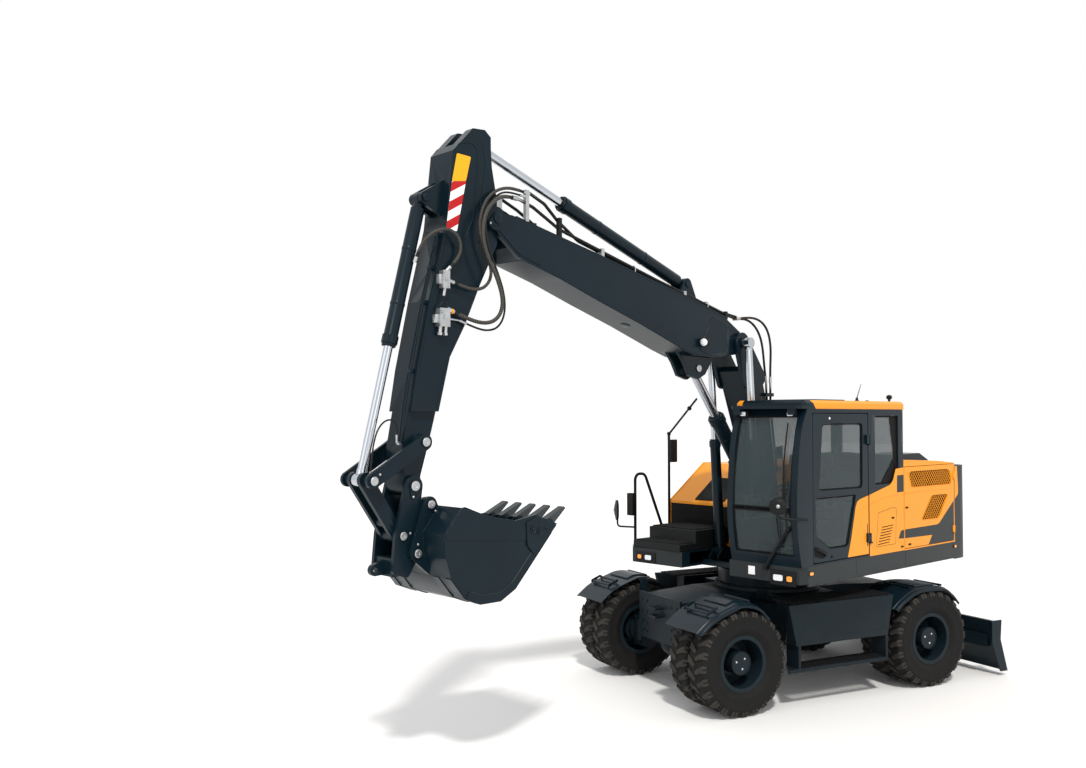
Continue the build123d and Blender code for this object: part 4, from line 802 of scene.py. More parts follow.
TYRE_PROFILE = [  # radius, half width
    (0.255, 0.092), (0.272, 0.1), (0.29, 0.104), (0.312, 0.124), (0.345, 0.1355), (0.352, 0.1385), (0.36, 0.1365),
    (0.4, 0.139), (0.44, 0.1375), (0.448, 0.1395), (0.456, 0.136), (0.482, 0.129), (0.503, 0.118), (0.5085, 0.105),
    (0.511, 0.06),
]


def twin_tyres(end, side):
    """Two tyres with their tread, as one piece."""
    x = HALF_BASE if end == "front" else -HALF_BASE
    sign = 1 if side == "left" else -1
    profile = TYRE_PROFILE + [(0.5118, 0.0)] + [(r, -w) for r, w in reversed(TYRE_PROFILE)]
    lug = lug_pair()
    made = []
    for offset in (-TWIN_HALF, TWIN_HALF):
        carcass = Shape().turned(profile, (0, 0, 0), steps=96, closed=True)
        body = bare("carcass", carcass)
        tread = bare("tread", points=[(0, 0, 0)])
        grow(tread, "ring", Piece=lug, Count=LUGS_ROUND, Finish=PAINT["rubber"])
        for piece in (body, tread):
            move_mesh(piece, Matrix.Translation((x, sign * (WHEEL_MID + offset), TYRE_R)))
            made.append(piece)
    drop(lug)
    bm = bmesh.new()
    spans = []
    for piece in made:
        bm.from_mesh(piece.data)
        spans.append(len(bm.faces))
    drop(*made)
    bmesh.ops.transform(bm, matrix=SLEW, verts=bm.verts)
    mesh = bpy.data.meshes.new(f"twin_tyres_{end}_{side}")
    bm.to_mesh(mesh)
    bm.free()
    obj = added(mesh.name, mesh)
    smooth(mesh, 38)
    mesh.materials.clear()
    mesh.materials.append(PAINT["rubber"])
    mesh.materials.append(PAINT["tread"])
    for face in mesh.polygons:
        on_tread = spans[0] <= face.index < spans[1] or face.index >= spans[2]
        face.material_index = 1 if on_tread else 0
    return settle(obj, f"wheel_{end}_{side}", (f"tyres_{end}_{side}",))


def wheels():
    """Tyres, rims, wheel nuts and hub bolts."""
    for end, x in (("front", HALF_BASE), ("rear", -HALF_BASE)):
        for side, sign in (("left", 1), ("right", -1)):
            twin_tyres(end, side)
            dress(f"rims_{end}_{side}", "rim", 0.004)
            out = (0, sign, 0)
            face = WHEEL_MID + TWIN_HALF + 0.07
            body = f"wheel_{end}_{side}"
            rows = circle_rows((x, sign * face, TYRE_R), out, 0.06, 3, 0.5)
            bolts(f"hub_bolts_{end}_{side}", body, rows, 0.013, under=True)
            rows = circle_rows((x, sign * (WHEEL_MID + 0.014), TYRE_R), out, 0.195, 10)
            bolts(f"wheel_nuts_{end}_{side}", body, rows, 0.022, "rim", under=True)
            ring = Shape(under=True)
            for r, depth in ((0.1165, 0.002), (0.276, -0.055)):
                y = sign * (face + depth)
                ring.turned([(r - 0.006, 0.004), (r, 0.0035), (r, -0.004), (r - 0.006, -0.004)], (x, y, TYRE_R),
                            out, 48, closed=True)
            place(f"rim_rings_{end}_{side}", ring, "rim", body)


# ------------------------------------------------------------------ undercarriage
MUDGUARDS = {  # outline corners (x from the wheel, z) of the top face
    "front": [(-0.33, 0.968), (-0.19, 1.09), (0.003, 1.135), (0.15, 1.1), (0.38, 1.01), (0.56, 0.88)],
    "rear": [(0.561, 0.9), (0.42, 1.0), (0.199, 1.09), (-0.171, 1.09), (-0.33, 1.01), (-0.437, 0.905)],
}


def curve_through(points, steps=8):
    """A smooth line through points (Catmull-Rom)."""
    points = [Vector(p) for p in points]
    ends = [points[0] * 2 - points[1]] + points + [points[-1] * 2 - points[-2]]
    line = []
    for a, b, c, d in zip(ends, ends[1:], ends[2:], ends[3:]):
        for k in range(steps):
            t = k / steps
            square, cube = 2 * a - 5 * b + 4 * c - d, 3 * b - a - 3 * c + d
            line.append(0.5 * (2 * b + (c - a) * t + square * t * t + cube * t ** 3))
    line.append(points[-1])
    return line


def mudguard(end, side):
    """A bent mudguard with a rolled outer edge and a raised pad on top."""
    x = HALF_BASE if end == "front" else -HALF_BASE
    sign = 1 if side == "left" else -1
    corners = [(x + px, pz) for px, pz in MUDGUARDS[end]]
    corners.sort(key=lambda p: p[0])
    line = curve_through([Vector((px, 0, pz)) for px, pz in corners])
    hub = Vector((x, 0, TYRE_R))
    shape = Shape(under=True)
    outer, inner = 1.249, 0.652 if end == "front" else 0.63
    # section across: (y, drop below the top line)
    section = [(inner, 0.0), (inner + 0.02, 0.0), (outer - 0.055, 0.0), (outer - 0.045, 0.01),
               (outer - 0.012, 0.014), (outer, 0.024), (outer, 0.046), (outer - 0.01, 0.046),
               (outer - 0.012, 0.026), (outer - 0.05, 0.022), (outer - 0.06, 0.011), (inner, 0.011)]
    rings = []
    for p in line:
        down = (hub - p).normalized()
        rings.append([p + down * d + Vector((0, sign * y, 0)) for y, d in section])
    shape.stacked(rings)
    node = f"mudguard_front_{side}" if end == "front" else "mudguards_rear"
    body = f"knuckle_{side}" if end == "front" else "chassis"
    if end == "front":
        brackets = [(0.04, 0.61, 0.645, 0.697, 1.118), (0.04, 0.61, 0.7, 1.111, 1.123),
                    (0.04, 0.61, 0.718, 0.697, 0.712)]
    else:
        brackets = [(0.06, 0.38, 0.64, 0.96, 0.98), (0.06, 0.628, 0.64, 0.96, 1.08)]
    for half, y0, y1, z0, z1 in brackets:
        shape.box(x - half, x + half, sign * y0, sign * y1, z0, z1)
    place(f"{end}_mudguard_{side}", shape, "petrol", body, 0.003, 50, (node,))
    top = [p for p in line if abs(p.x - x) < 0.17]
    pad = Shape(under=True).stacked([[p + Vector((0, sign * y, dz)) for y, dz in (
        (0.74, 0.002), (0.76, 0.016), (1.12, 0.016), (1.14, 0.002))] for p in top])
    place(f"{end}_mudguard_pad_{side}", pad, "petrol", body, 0.004)
    rails = Shape(under=True)
    rungs = ([(0.275, 1.088), (0.375, 1.048), (-0.12, 1.132)] if end == "front" else [(-0.235, 1.092), (0.24, 1.1)])
    for px, z in rungs:
        rails.bar((x + px, sign * 0.76, z), (x + px, sign * 1.15, z), 0.013, 10)
        for y in (0.79, 1.12):
            rails.bar((x + px, sign * y, z - 0.04), (x + px, sign * y, z), 0.008, 8)
    if end == "front":
        for y in (0.76, 1.15):
            rails.slab([(x + 0.255, 1.1), (x + 0.28, 1.108), (x + 0.395, 1.06), (x + 0.4, 1.03), (x + 0.37, 1.03)],
                       sign * y, sign * (y + 0.006))
    place(f"{end}_mudguard_rails_{side}", rails, "petrol", body, angle=50)


def undercarriage():
    """Chassis, axles, steps, mudguards and blade; chassis, axles, steps and their bolts in a darker enamel as
    painted shade under the deck.
    """
    # The chassis parts take 'under', the petrol enamel darkened as painted shade under the deck.
    for node in ("chassis", "front_axle", "rear_axle", "drive_line", "slew_ring", "knuckle_left", "knuckle_right"):
        dress(node, "under", 0.004)
    for side, sign in (("left", 1), ("right", -1)):
        for end in ("front", "rear"):
            mudguard(end, side)
        # The steps also take the darkened enamel: painted shade.
        dress(f"steps_{side}", "under", 0.006)
        repeated(f"step_grip_{side}", Shape().box(-0.011, 0.011, -0.16, 0.16, 0.0, 0.016), 34, (0.04, 0.0, 0.0),
                 "grit", "chassis", SLEW @ Matrix.Translation((-0.665, sign * 1.06, 1.063)), 30)
        repeated(f"step_bar_grip_{side}", Shape().box(-0.01, 0.01, -0.095, 0.095, 0.0, 0.014), 27,
                 (0.042, 0.0, 0.0), "grit", "chassis", SLEW @ Matrix.Translation((-0.55, sign * 1.14, 0.41)), 30)
        panel = Shape(under=True)
        y0, y1 = sign * 1.2505, sign * 1.244
        for x0, x1 in ((-0.56, -0.01), (0.02, 0.53)):
            for z in (0.7, 0.982):
                panel.box(x0, x1, y0, y1, z, z + 0.018)
            for x in (x0, x1 - 0.018):
                panel.box(x, x + 0.018, y0, y1, 0.718, 0.982)
            panel.box((x0 + x1) / 2 - 0.03, (x0 + x1) / 2 + 0.03, y0, y1, 0.83, 0.87)
        # The step box frames in the darkened enamel: painted shade.
        place(f"step_box_frames_{side}", panel, "under", "chassis", 0.002)
    # Ring bolts and front plate bolts in the darkened enamel: painted shade.
    ring_rows = circle_rows((0, 0, 1.09), (0, 0, 1), 0.58, 30)
    bolts("ring_bolts", "chassis", ring_rows, 0.02, "under", under=True)
    rows = [((1.501, y, z), (1, 0, 0)) for y in (-0.34, -0.24, 0.24, 0.34) for z in (0.6, 0.7, 0.82, 0.94)]
    bolts("front_plate_bolts", "chassis", rows, 0.02, "under", under=True)
    for node, paint, bevel in (("dozer_blade", "petrol", 0.005), ("blade_barrels", "petrol", 0.003),
                               ("blade_rods", "chrome", 0.002)):
        dress(node, paint, bevel)
    edge = Shape(under=True).slab([(-2.494, 0.048), (-2.474, 0.048), (-2.437, 0.17), (-2.452, 0.176)], -1.249,
                                  1.249)
    place("blade_edge", edge, "teeth", "dozer_blade", 0.002)


# ------------------------------------------------------------------ upper structure
LEFT_FACE = 1.24
RIGHT_FACE = -1.23
CAB_MID = 0.81
CAB_FRONT = [(1.165, 1.48), (1.245, 2.05), (1.215, 2.5), (1.111, 2.962), (1.045, 3.075)]
FRONT_LINE = [(p.x, p.z) for p in curve_through([Vector((x, 0, z)) for x, z in CAB_FRONT], 10)]
DOOR_WINDOWS = [
    [(0.845, 2.238), (0.768, 2.925), (-0.006, 2.925), (0.004, 2.228)],
    [(0.905, 2.165), (0.905, 1.77), (0.655, 1.632), (0.345, 1.628), (0.298, 1.645), (0.135, 2.165)],
]
GRILLES = [
    [(-0.995, 2.345), (-1.045, 2.367), (-1.906, 2.365), (-1.977, 2.347), (-2.026, 2.205), (-1.998, 2.18),
     (-1.095, 2.186), (-1.05, 2.2)],
    [(-1.526, 2.059), (-1.567, 2.07), (-1.898, 2.066), (-1.931, 2.048), (-1.724, 1.813), (-1.662, 1.793),
     (-1.32, 1.797), (-1.288, 1.813)],
]
BELT = [(0.026, 2.008), (-0.11, 2.04), (-0.302, 2.079), (-0.552, 2.111), (-0.884, 2.121), (-1.308, 2.132),
        (-2.19, 2.126)]
DOOR_REAR, DOOR_FRONT, DOOR_LOW, DOOR_HIGH = -2.08, -0.896, 1.5, 2.42


def cab_front_x(z):
    """Where the cab's bowed front is at a height."""
    for (x0, z0), (x1, z1) in zip(FRONT_LINE, FRONT_LINE[1:]):
        if z0 <= z <= z1:
            return x0 + (x1 - x0) * (z - z0) / (z1 - z0)
    return FRONT_LINE[-1][0]


def panel(name, paint, body, outline, proud=0.0016, side=1, ease=0.01, face=None):
    """A thin panel on a flank: a side outline (x, z) laid on the left or right face."""
    face = face if face is not None else (LEFT_FACE if side > 0 else RIGHT_FACE)
    shape = Shape().slab(eased(outline, ease), face - side * 0.0004, face + side * proud)
    place(name, shape, paint, body)


def glass_sheet(name, body, outline, y, ease):
    """A flat pane with its black seal round it."""
    place(name, Shape().slab(eased(outline, ease), y, y + 0.005), "glass", body)
    outer = eased(outline, ease)
    inner = eased(shrunk(outline, 0.014), ease * 0.8)
    place(name + "_seal", Shape().pierced(outer, [inner], y - 0.004, y + 0.011), "seal", body, 0.0015)


def windshield():
    """The bowed windscreen in two panes with its divider, its black border and the wipers."""
    for name, z0, z1 in (("windscreen_upper", 2.062, 3.0), ("windscreen_lower", 1.592, 2.04)):
        corners = ((0.012, 0.452), (0.012, 1.168), (0.018, 1.168), (0.018, 0.452))
        levels = [z0 + (z1 - z0) * k / 12 for k in range(13)]
        pane = Shape().stacked([[(cab_front_x(z) - inset, y, z) for inset, y in corners] for z in levels])
        place(name, pane, "glass", "upper")
        seal = Shape()
        heights = [z0 + (z1 - z0) * k / 14 for k in range(15)]
        for y in (0.458, 1.162):
            seal.pipe([(cab_front_x(z) - 0.008, y, z) for z in heights], 0.009, 8)
        for z in (z0 + 0.006, z1 - 0.006):
            seal.bar((cab_front_x(z) - 0.009, 0.458, z), (cab_front_x(z) - 0.009, 1.162, z), 0.009, 8)
        place(name + "_seal", seal, "seal", "upper")
    wiper = Shape()
    for low, high, y in ((2.12, 2.93, 1.085), (1.66, 2.0, 1.02)):
        levels = [low + (high - low) * k / 10 for k in range(11)]
        wiper.pipe([(cab_front_x(z) + 0.01, y - 0.02 * k / 10, z) for k, z in enumerate(levels)], 0.008, 6)
    arm = [(1.262, 1.135, 1.87), (1.272, 1.12, 2.06), (1.262, 1.098, 2.34), (1.24, 1.085, 2.56)]
    wiper.pipe(arm, 0.011, 8)
    wiper.turned([(0.02, 0.0), (0.026, 0.006), (0.026, 0.03), (0.014, 0.038)], (1.232, 1.135, 1.87), (1, 0, 0), 20)
    wiper.pipe([(1.25, 1.125, 1.86), (1.222, 0.96, 1.64), (1.2, 0.82, 1.445)], 0.016, 8)
    wiper.box(1.168, 1.212, 0.795, 0.845, 1.425, 1.47)
    place("wipers", wiper, "black", "upper", angle=50)


def cab_door():
    """The cab's door: frame, both windows, yellow corner panel, handle, lock and hinge cover."""
    leaf = Shape()
    outline = eased([(-0.112, 1.508), (0.95, 1.508), (0.95, 3.027), (-0.112, 3.027)], 0.03)
    holes = [eased(DOOR_WINDOWS[0], 0.055), eased(DOOR_WINDOWS[1], 0.03)]
    leaf.pierced(outline, holes, 1.202, 1.238)
    for z in (1.64, 2.7):
        leaf.turned([(0.013, 0.0), (0.0132, 0.002), (0.0132, 0.094), (0.0125, 0.096)], (-0.12, 1.256, z + 0.0003),
                    UP, 24)
        leaf.box(-0.112, -0.06, 1.236, 1.262, z + 0.0003, z + 0.096)
    place("cab_door_leaf", leaf, "petrol", "cab_door", 0.003, stands_for=("cab_door",))
    for k, (outline, ease) in enumerate(zip(DOOR_WINDOWS, (0.055, 0.03))):
        glass_sheet(f"cab_door_glass_{k}", "cab_door", shrunk(outline, 0.001), 1.216, ease=ease)
    yellow = [(0.312, 1.512), (0.242, 1.697), (0.15, 2.03), (0.116, 2.088), (0.05, 2.112), (-0.108, 2.141),
              (-0.108, 1.512)]
    panel("door_corner_panel", "yellow", "cab_door", yellow, 0.004, face=1.2375, ease=0.008)
    recess = eased([(0.938, 1.672), (0.905, 1.676), (0.722, 1.606), (0.708, 1.566), (0.8, 1.54), (0.925, 1.572)],
                   0.018)
    dish = Shape().slab(recess, 1.2376, 1.2384)
    place("door_handle_dish", dish, "seal", "cab_door")
    rim = Shape().pierced(recess, [eased(shrunk(recess, 0.006), 0.004)], 1.2376, 1.2425)
    place("door_handle_rim", rim, "plastic", "cab_door", 0.001)
    grip = Shape().pipe([(0.915, 1.24, 1.645), (0.88, 1.25, 1.64), (0.77, 1.251, 1.598), (0.735, 1.24, 1.578)],
                        0.012, 10)
    grip.turned([(0.016, 0.0), (0.016, 0.006), (0.01, 0.008)], (0.61, 1.2378, 1.545), (0, 1, 0), 20)
    place("door_handle_grip", grip, "plastic", "cab_door", angle=50)
    plate = Shape().turned([(0.013, 0.0), (0.013, 0.003), (0.008, 0.0045)], (0.64, 1.2378, 2.978), (0, 1, 0), 20)
    place("door_top_plug", plate, "white", "cab_door")
    slot = Shape().box(-0.09, -0.078, 1.2408, 1.2425, 1.596, 1.835)
    place("door_hinge_slot", slot, "seal", "cab_door")


def seat_and_controls():
    """Operator's seat with its pads, consoles with levers, wheel and column, and the monitor."""
    base = Shape().boxes((-0.33, 0.13, CAB_MID - 0.23, CAB_MID + 0.23, 1.541, 1.64),
                         (-0.28, 0.09, CAB_MID - 0.19, CAB_MID + 0.19, 1.64, 1.8),
                         (-0.345, 0.16, CAB_MID - 0.245, CAB_MID + 0.245, 1.8, 1.86),
                         (-0.448, -0.4, CAB_MID - 0.2, CAB_MID + 0.2, 1.88, 2.56))
    place("seat_base", base, "grey", "upper", 0.015, stands_for=("seat",), segments=3)
    for name, x0, x1, half, z0, z1, crown in (("seat_cushion", -0.33, 0.195, 0.25, 1.862, 1.988, 0.3),
                                              ("seat_back", -0.402, -0.3, 0.24, 1.94, 2.42, 0.3),
                                              ("seat_head_rest", -0.402, -0.315, 0.14, 2.44, 2.595, 0.35)):
        pad = padded_block(name, (x0, x1, CAB_MID - half, CAB_MID + half, z0, z1), crown)
    trim = Shape().boxes((0.76, 1.06, 0.5, 1.12, 1.541, 1.6), (-0.8, -0.5, 0.44, 1.18, 1.541, 2.18))
    for y in (CAB_MID - 0.315, CAB_MID + 0.315):
        for x0, x1, half, z0, z1 in ((-0.34, 0.28, 0.062, 1.541, 2.04), (0.2, 0.33, 0.05, 2.02, 2.075),
                                     (-0.33, 0.08, 0.045, 2.1, 2.135), (-0.33, -0.27, 0.03, 2.04, 2.1)):
            trim.box(x0, x1, y - half, y + half, z0, z1)
    place("consoles", trim, "grey", "upper", 0.012, segments=3)
    levers = Shape()
    for y in (CAB_MID - 0.315, CAB_MID + 0.315):
        levers.turned([(0.034, 0.0), (0.03, 0.02), (0.014, 0.05), (0.011, 0.09), (0.017, 0.11), (0.022, 0.16),
                       (0.019, 0.2), (0.008, 0.215)], (0.262, y, 2.07), (0.12, 0, 1), 16)
    levers.pipe([(0.82, CAB_MID, 1.6), (0.74, CAB_MID, 1.9), (0.64, CAB_MID, 2.17)], 0.03, 12)
    for y in (CAB_MID - 0.13, CAB_MID + 0.13):
        levers.prism([(0.8, y - 0.045, 1.605), (0.8, y + 0.045, 1.605), (0.93, y + 0.045, 1.7),
                      (0.93, y - 0.045, 1.7)], (0.008, 0, -0.012))
    way = Vector((-0.42, 0, 1)).normalized()
    hub = Vector((0.622, CAB_MID, 2.2))
    levers.turned(wire_loop(0.185, 0.013), hub, way, 40, closed=True)
    levers.turned([(0.045, -0.02), (0.05, -0.01), (0.045, 0.012), (0.02, 0.02)], hub, way, 24)
    side = way.orthogonal().normalized()
    other = way.cross(side)
    for k in range(3):
        spoke = side * cos(tau * k / 3) + other * sin(tau * k / 3)
        levers.bar(hub + spoke * 0.03, hub + spoke * 0.185, 0.011, 8)
    place("wheel_and_levers", levers, "plastic", "upper", angle=50)
    screen = Shape()
    screen.prism([(0.9, 0.48, 2.13), (0.9, 0.68, 2.13), (0.87, 0.68, 2.27), (0.87, 0.48, 2.27)], (0.028, 0, 0.006))
    screen.pipe([(0.9, 0.58, 2.15), (0.95, 0.54, 2.02), (0.98, 0.47, 1.9)], 0.014, 8)
    place("monitor", screen, "plastic", "upper", 0.004)
    blind = Shape().box(-0.8, 0.9, 0.47, 1.15, 2.985, 3.01)
    place("roof_lining", blind, "grey", "upper", 0.008)


def padded_block(name, box, crown):
    """A crowned pad with a sewn channel grid: a subdivided block whose faces swell between the seams."""
    x0, x1, y0, y1, z0, z1 = box
    bm = bmesh.new()
    bmesh.ops.create_cube(bm, size=1.0)
    bmesh.ops.subdivide_edges(bm, edges=bm.edges[:], cuts=15, use_grid_fill=True)
    middle = Vector(((x0 + x1) / 2, (y0 + y1) / 2, (z0 + z1) / 2))
    half = Vector(((x1 - x0) / 2, (y1 - y0) / 2, (z1 - z0) / 2))
    flat = min(half)
    for v in bm.verts:
        u = Vector([c * 2 for c in v.co])
        core = Vector([max(-1.0, min(1.0, c)) * (h - flat * 0.55) / h for c, h in zip(u, half)])
        way = Vector([(c - k) * h for c, k, h in zip(u, core, half)])
        p = Vector([k * h for k, h in zip(core, half)]) + way.normalized() * flat * 0.55
        # the seams run across the pad at each third of its width
        across = abs(((u.y + 1) / 2 * 3) % 1 - 0.5) * 2
        dip = max(0.0, (across - 0.86) / 0.14) * 0.006 * crown * 3
        p -= way.normalized() * dip
        v.co = middle + p
    mesh = bpy.data.meshes.new(name)
    bmesh.ops.recalc_face_normals(bm, faces=bm.faces)
    bm.to_mesh(mesh)
    bm.free()
    obj = added(name, mesh)
    mesh.shade_smooth()
    mesh.materials.append(PAINT["cloth"])
    return settle(obj, "upper")


def cab():
    """Cab structure, glass, roof and the operator's place."""
    cuts = [((x, 0, 0), (1, 0, 0)) for x in (-0.8, -0.51, -0.19, 0.42)]
    cuts += [((0, 0, z), (0, 0, 1)) for z in (2.23, 2.62, 3.02)]
    dress("cab_shell", "petrol", 0.006, cuts=cuts, segments=3)
    dark = [("petrol", lambda c, n: c.x > 0.905 + (c.z - 3.11) * 0.8 and (c.y > 0.47 or c.z < 3.112)),
            ("lens", lambda c, n: c.z < 3.068 and n.x > 0.9)]
    dress("cab_roof", "yellow", 0.012, dark, [((0.905, 0, 3.11), (1, 0, -0.8)), ((0, 0.47, 0), (0, 1, 0))],
          segments=3)
    for name, y in (("left", 1.095), ("right", 0.513)):
        case = Shape().box(1.062, 1.13, y - 0.05, y + 0.05, 2.99, 3.058)
        place(f"work_lamp_case_{name}", case, "plastic", "upper", 0.01, segments=3)
        lamp(f"work_lamp_{name}", (1.13, y, 3.024), "x", (0.088, 0.056), "lens")
    windshield()
    cab_door()
    seat_and_controls()
    glass_sheet("rear_side_glass", "upper", [(-0.262, 3.003), (-0.758, 3.003), (-0.758, 2.252), (-0.262, 2.252)],
                1.214, ease=0.01)
    for name, outline in (
            ("border", [(-0.588, 3.001), (-0.757, 3.001), (-0.757, 2.4), (-0.7, 2.41), (-0.69, 2.531)]),
            ("wedge", [(-0.69, 2.531), (-0.72, 2.405), (-0.645, 2.29), (-0.57, 2.254), (-0.4, 2.254)])):
        place(f"rear_side_{name}", Shape().slab(outline, 1.2215, 1.2235), "seal", "upper")
    glass_sheet("right_glass", "upper", [(1.008, 1.902), (1.008, 3.003), (-0.758, 3.003), (-0.758, 1.902)], 0.396,
                ease=0.02)
    pane = Shape().box(-0.862, -0.857, 0.471, 1.149, 2.561, 3.004)
    place("rear_glass", pane, "glass", "upper")
    for name, paint, proud, ease, outline in (
            ("cab_flank_panel", "yellow", 0.0035, 0.008, [
                (-0.128, 1.484), (-0.128, 2.145), (-0.32, 2.184), (-0.572, 2.235), (-0.64, 2.285), (-0.7, 2.409),
                (-0.834, 2.416), (-0.868, 2.418), (-0.868, 1.484)]),
            ("cab_flank_stripe", "slate", 0.0042, 0.003, [
                (-0.8675, 1.714), (-0.819, 1.713), (-0.79, 1.7), (-0.745, 1.625), (-0.8675, 1.617)]),
            ("cab_flank_plate", "slate", 0.0048, 0.008, [
                (-0.722, 2.334), (-0.866, 2.337), (-0.866, 2.146), (-0.718, 2.143)])):
        panel(name, paint, "upper", outline, proud, ease=ease)
    hatch = eased([(-0.306, 1.942), (-0.64, 1.985), (-0.708, 1.965), (-0.69, 1.77), (-0.679, 1.571),
                   (-0.257, 1.57)], 0.02)
    groove = Shape().pierced(hatch, [eased(shrunk(hatch, 0.004), 0.002)], LEFT_FACE + 0.003, LEFT_FACE + 0.004)
    place("flank_hatch_gap", groove, "seal", "upper")
    lift = LEFT_FACE + 0.003
    slat = Shape().prism([(-0.388, lift, 1.786), (-0.632, lift, 1.797), (-0.63, lift, 1.783),
                          (-0.392, lift, 1.771)], (0, 0.001, 0))
    lip = Shape().prism([(-0.386, lift, 1.794), (-0.634, lift, 1.805), (-0.633, lift + 0.005, 1.797),
                         (-0.387, lift + 0.005, 1.786)], (0.0, 0.0005, -0.003))
    repeated("flank_louvres", slat, 7, (0.015, 0.0, -0.0303), "seal", "upper")
    repeated("flank_louvre_lips", lip, 7, (0.015, 0.0, -0.0303), "yellow", "upper")
    latches = Shape()
    for x, z in ((-0.62, 1.867), (-0.82, 1.53)):
        latches.slab(pill(x, z, 0.026, 0.009, 0.008), LEFT_FACE + 0.003, LEFT_FACE + 0.01)
    place("flank_latches", latches, "seal", "upper", 0.001)
    roof_fittings()
    belt_line()


def belt_line():
    """The raised crease along the left flank, one length on each piece that it crosses."""
    for body, face, front, rear in (("cab_door", 1.2415, 0.03, -0.106), ("upper", 1.2435, -0.13, -0.866),
                                    ("left_door", 1.2402, -0.899, -2.076), ("upper", 1.2416, -2.114, -2.188)):
        xs = [front] + [x for x, _ in BELT if rear < x < front] + [rear]
        line = []
        for x in xs:
            for (x0, z0), (x1, z1) in zip(BELT, BELT[1:]):
                if x1 <= x <= x0 + 0.01:
                    line.append((x, face, z0 + (z1 - z0) * (x0 - x) / (x0 - x1)))
                    break
        shape = Shape().pipe(line, 0.0035, 6)
        place(f"belt_line_{body}_{abs(int(rear * 1000))}", shape, "yellow", body, angle=70)


def roof_fittings():
    """Antenna, beacon socket and lamps on the roof."""
    shape = Shape()
    shape.turned([(0.03, 0.0), (0.032, 0.01), (0.018, 0.022), (0.012, 0.05), (0.004, 0.055)], (-0.64, 0.8, 3.163),
                 UP, 20)
    shape.bar((-0.64, 0.8, 3.205), (-0.735, 0.8, 3.372), 0.005, 8, 0.003)
    shape.turned([(0.014, 0.0), (0.014, 0.03), (0.03, 0.042), (0.034, 0.06), (0.026, 0.078), (0.008, 0.084)],
                 (-0.9, 1.06, 3.16), UP, 24)
    shape.turned([(0.02, 0.0), (0.024, 0.01), (0.016, 0.018)], (-0.69, 0.9, 3.163), UP, 20)
    place("antenna_and_sockets", shape, "plastic", "upper", angle=50)
    hatch = Shape().slab([(0.1, 3.163), (0.76, 3.163), (0.74, 3.178), (0.12, 3.178)], 0.52, 1.1)
    place("roof_hatch", hatch, "petrol", "upper", 0.004)


def clipped(p, q, outline):
    """The part of a straight line inside a convex outline, or None."""
    n = len(outline)
    turn = turning(outline)
    t0, t1 = 0.0, 1.0
    for i in range(n):
        (ax, az), (bx, bz) = outline[i], outline[(i + 1) % n]
        nx, nz = -(bz - az) * turn, (bx - ax) * turn
        a = (p[0] - ax) * nx + (p[1] - az) * nz
        b = (q[0] - ax) * nx + (q[1] - az) * nz
        if a < 0 and b < 0:
            return None
        if a * b < 0:
            t = a / (a - b)
            t0, t1 = (max(t0, t), t1) if a < 0 else (t0, min(t1, t))
    if t1 - t0 < 1e-3:
        return None
    return tuple((p[0] + (q[0] - p[0]) * t, p[1] + (q[1] - p[1]) * t) for t in (t0, t1))


def mesh_screen(name, body, outline, y):
    """Diagonal yellow wire mesh that fills an outline."""
    pitch, wire = 0.052, 0.0034
    xs, zs = zip(*outline)
    high = max(zs) - min(zs)
    points, edges = [], []
    count = int((max(xs) - min(xs) + high) / pitch) + 2
    for lean in (1, -1):
        for k in range(count):
            x = min(xs) - (high if lean > 0 else 0) + k * pitch
            start = (x, min(zs) - 0.001)
            stop = (x + lean * high, max(zs) + 0.001)
            part = clipped(start, stop, outline)
            if part:
                points += [(px, y + lean * wire * 0.4, pz) for px, pz in part]
                edges.append((len(points) - 2, len(points) - 1))
    obj = bare(name, points=points, edges=edges)
    grow(obj, "wire", Radius=wire, Sides=5, Finish=PAINT["yellow"])
    smooth(obj.data, 40)
    settle(obj, body)


def service_door(side):
    """A side service door: leaf with two mesh grilles, hinges and latches."""
    sign = 1 if side == "left" else -1
    face = LEFT_FACE if sign > 0 else RIGHT_FACE
    inner = face - sign * 0.014
    leaf = Shape()
    outline = eased([(DOOR_REAR, DOOR_LOW), (DOOR_FRONT, DOOR_LOW), (DOOR_FRONT, DOOR_HIGH),
                     (DOOR_REAR, DOOR_HIGH)], 0.012)
    leaf.pierced(outline, [eased(g, 0.012) for g in GRILLES], inner, face)
    hinge_y = face + sign * 0.009
    for z in (1.6, 2.25):
        leaf.turned([(0.0088, 0.0), (0.009, 0.001), (0.009, 0.078), (0.0085, 0.0795)],
                    (DOOR_REAR + 0.002, hinge_y, z + 0.0003), UP, 20)
        leaf.box(DOOR_REAR + 0.002, DOOR_REAR + 0.032, face - sign * 0.001, hinge_y, z + 0.0003, z + 0.08)
    body = f"{side}_door"
    place(f"{side}_door_leaf", leaf, "yellow", body, 0.002, stands_for=(f"{side}_door",))
    for k, outline in enumerate(GRILLES):
        back = Shape().slab(shrunk(outline, -0.006), inner - sign * 0.004, inner - sign * 0.001)
        place(f"{side}_door_core_{k}", back, "seal", body)
        mesh_screen(f"{side}_door_mesh_{k}", body, outline, face - sign * 0.007)
        rim = Shape().pierced(eased(shrunk(outline, -0.009), 0.016), [eased(outline, 0.012)], face - sign * 0.001,
                              face + sign * 0.003)
        place(f"{side}_door_rim_{k}", rim, "yellow", body, 0.0012)
    latch = Shape()
    for x, z in ((-1.0, 1.54), (-0.94, 1.96)):
        latch.slab(pill(x, z, 0.028, 0.01, 0.009), face, face + sign * 0.006)
    place(f"{side}_door_latches", latch, "seal", body, 0.001)
    slate = [(DOOR_REAR + 0.001, 1.975), (-1.715, 1.735), (-1.66, 1.719), (DOOR_FRONT - 0.001, 1.715),
             (DOOR_FRONT - 0.001, 1.616), (-1.535, 1.605), (-1.445, DOOR_LOW + 0.001),
             (DOOR_REAR + 0.001, DOOR_LOW + 0.001)]
    panel(f"{side}_door_slate", "slate", body, slate, 0.0012, sign, 0.003, face)


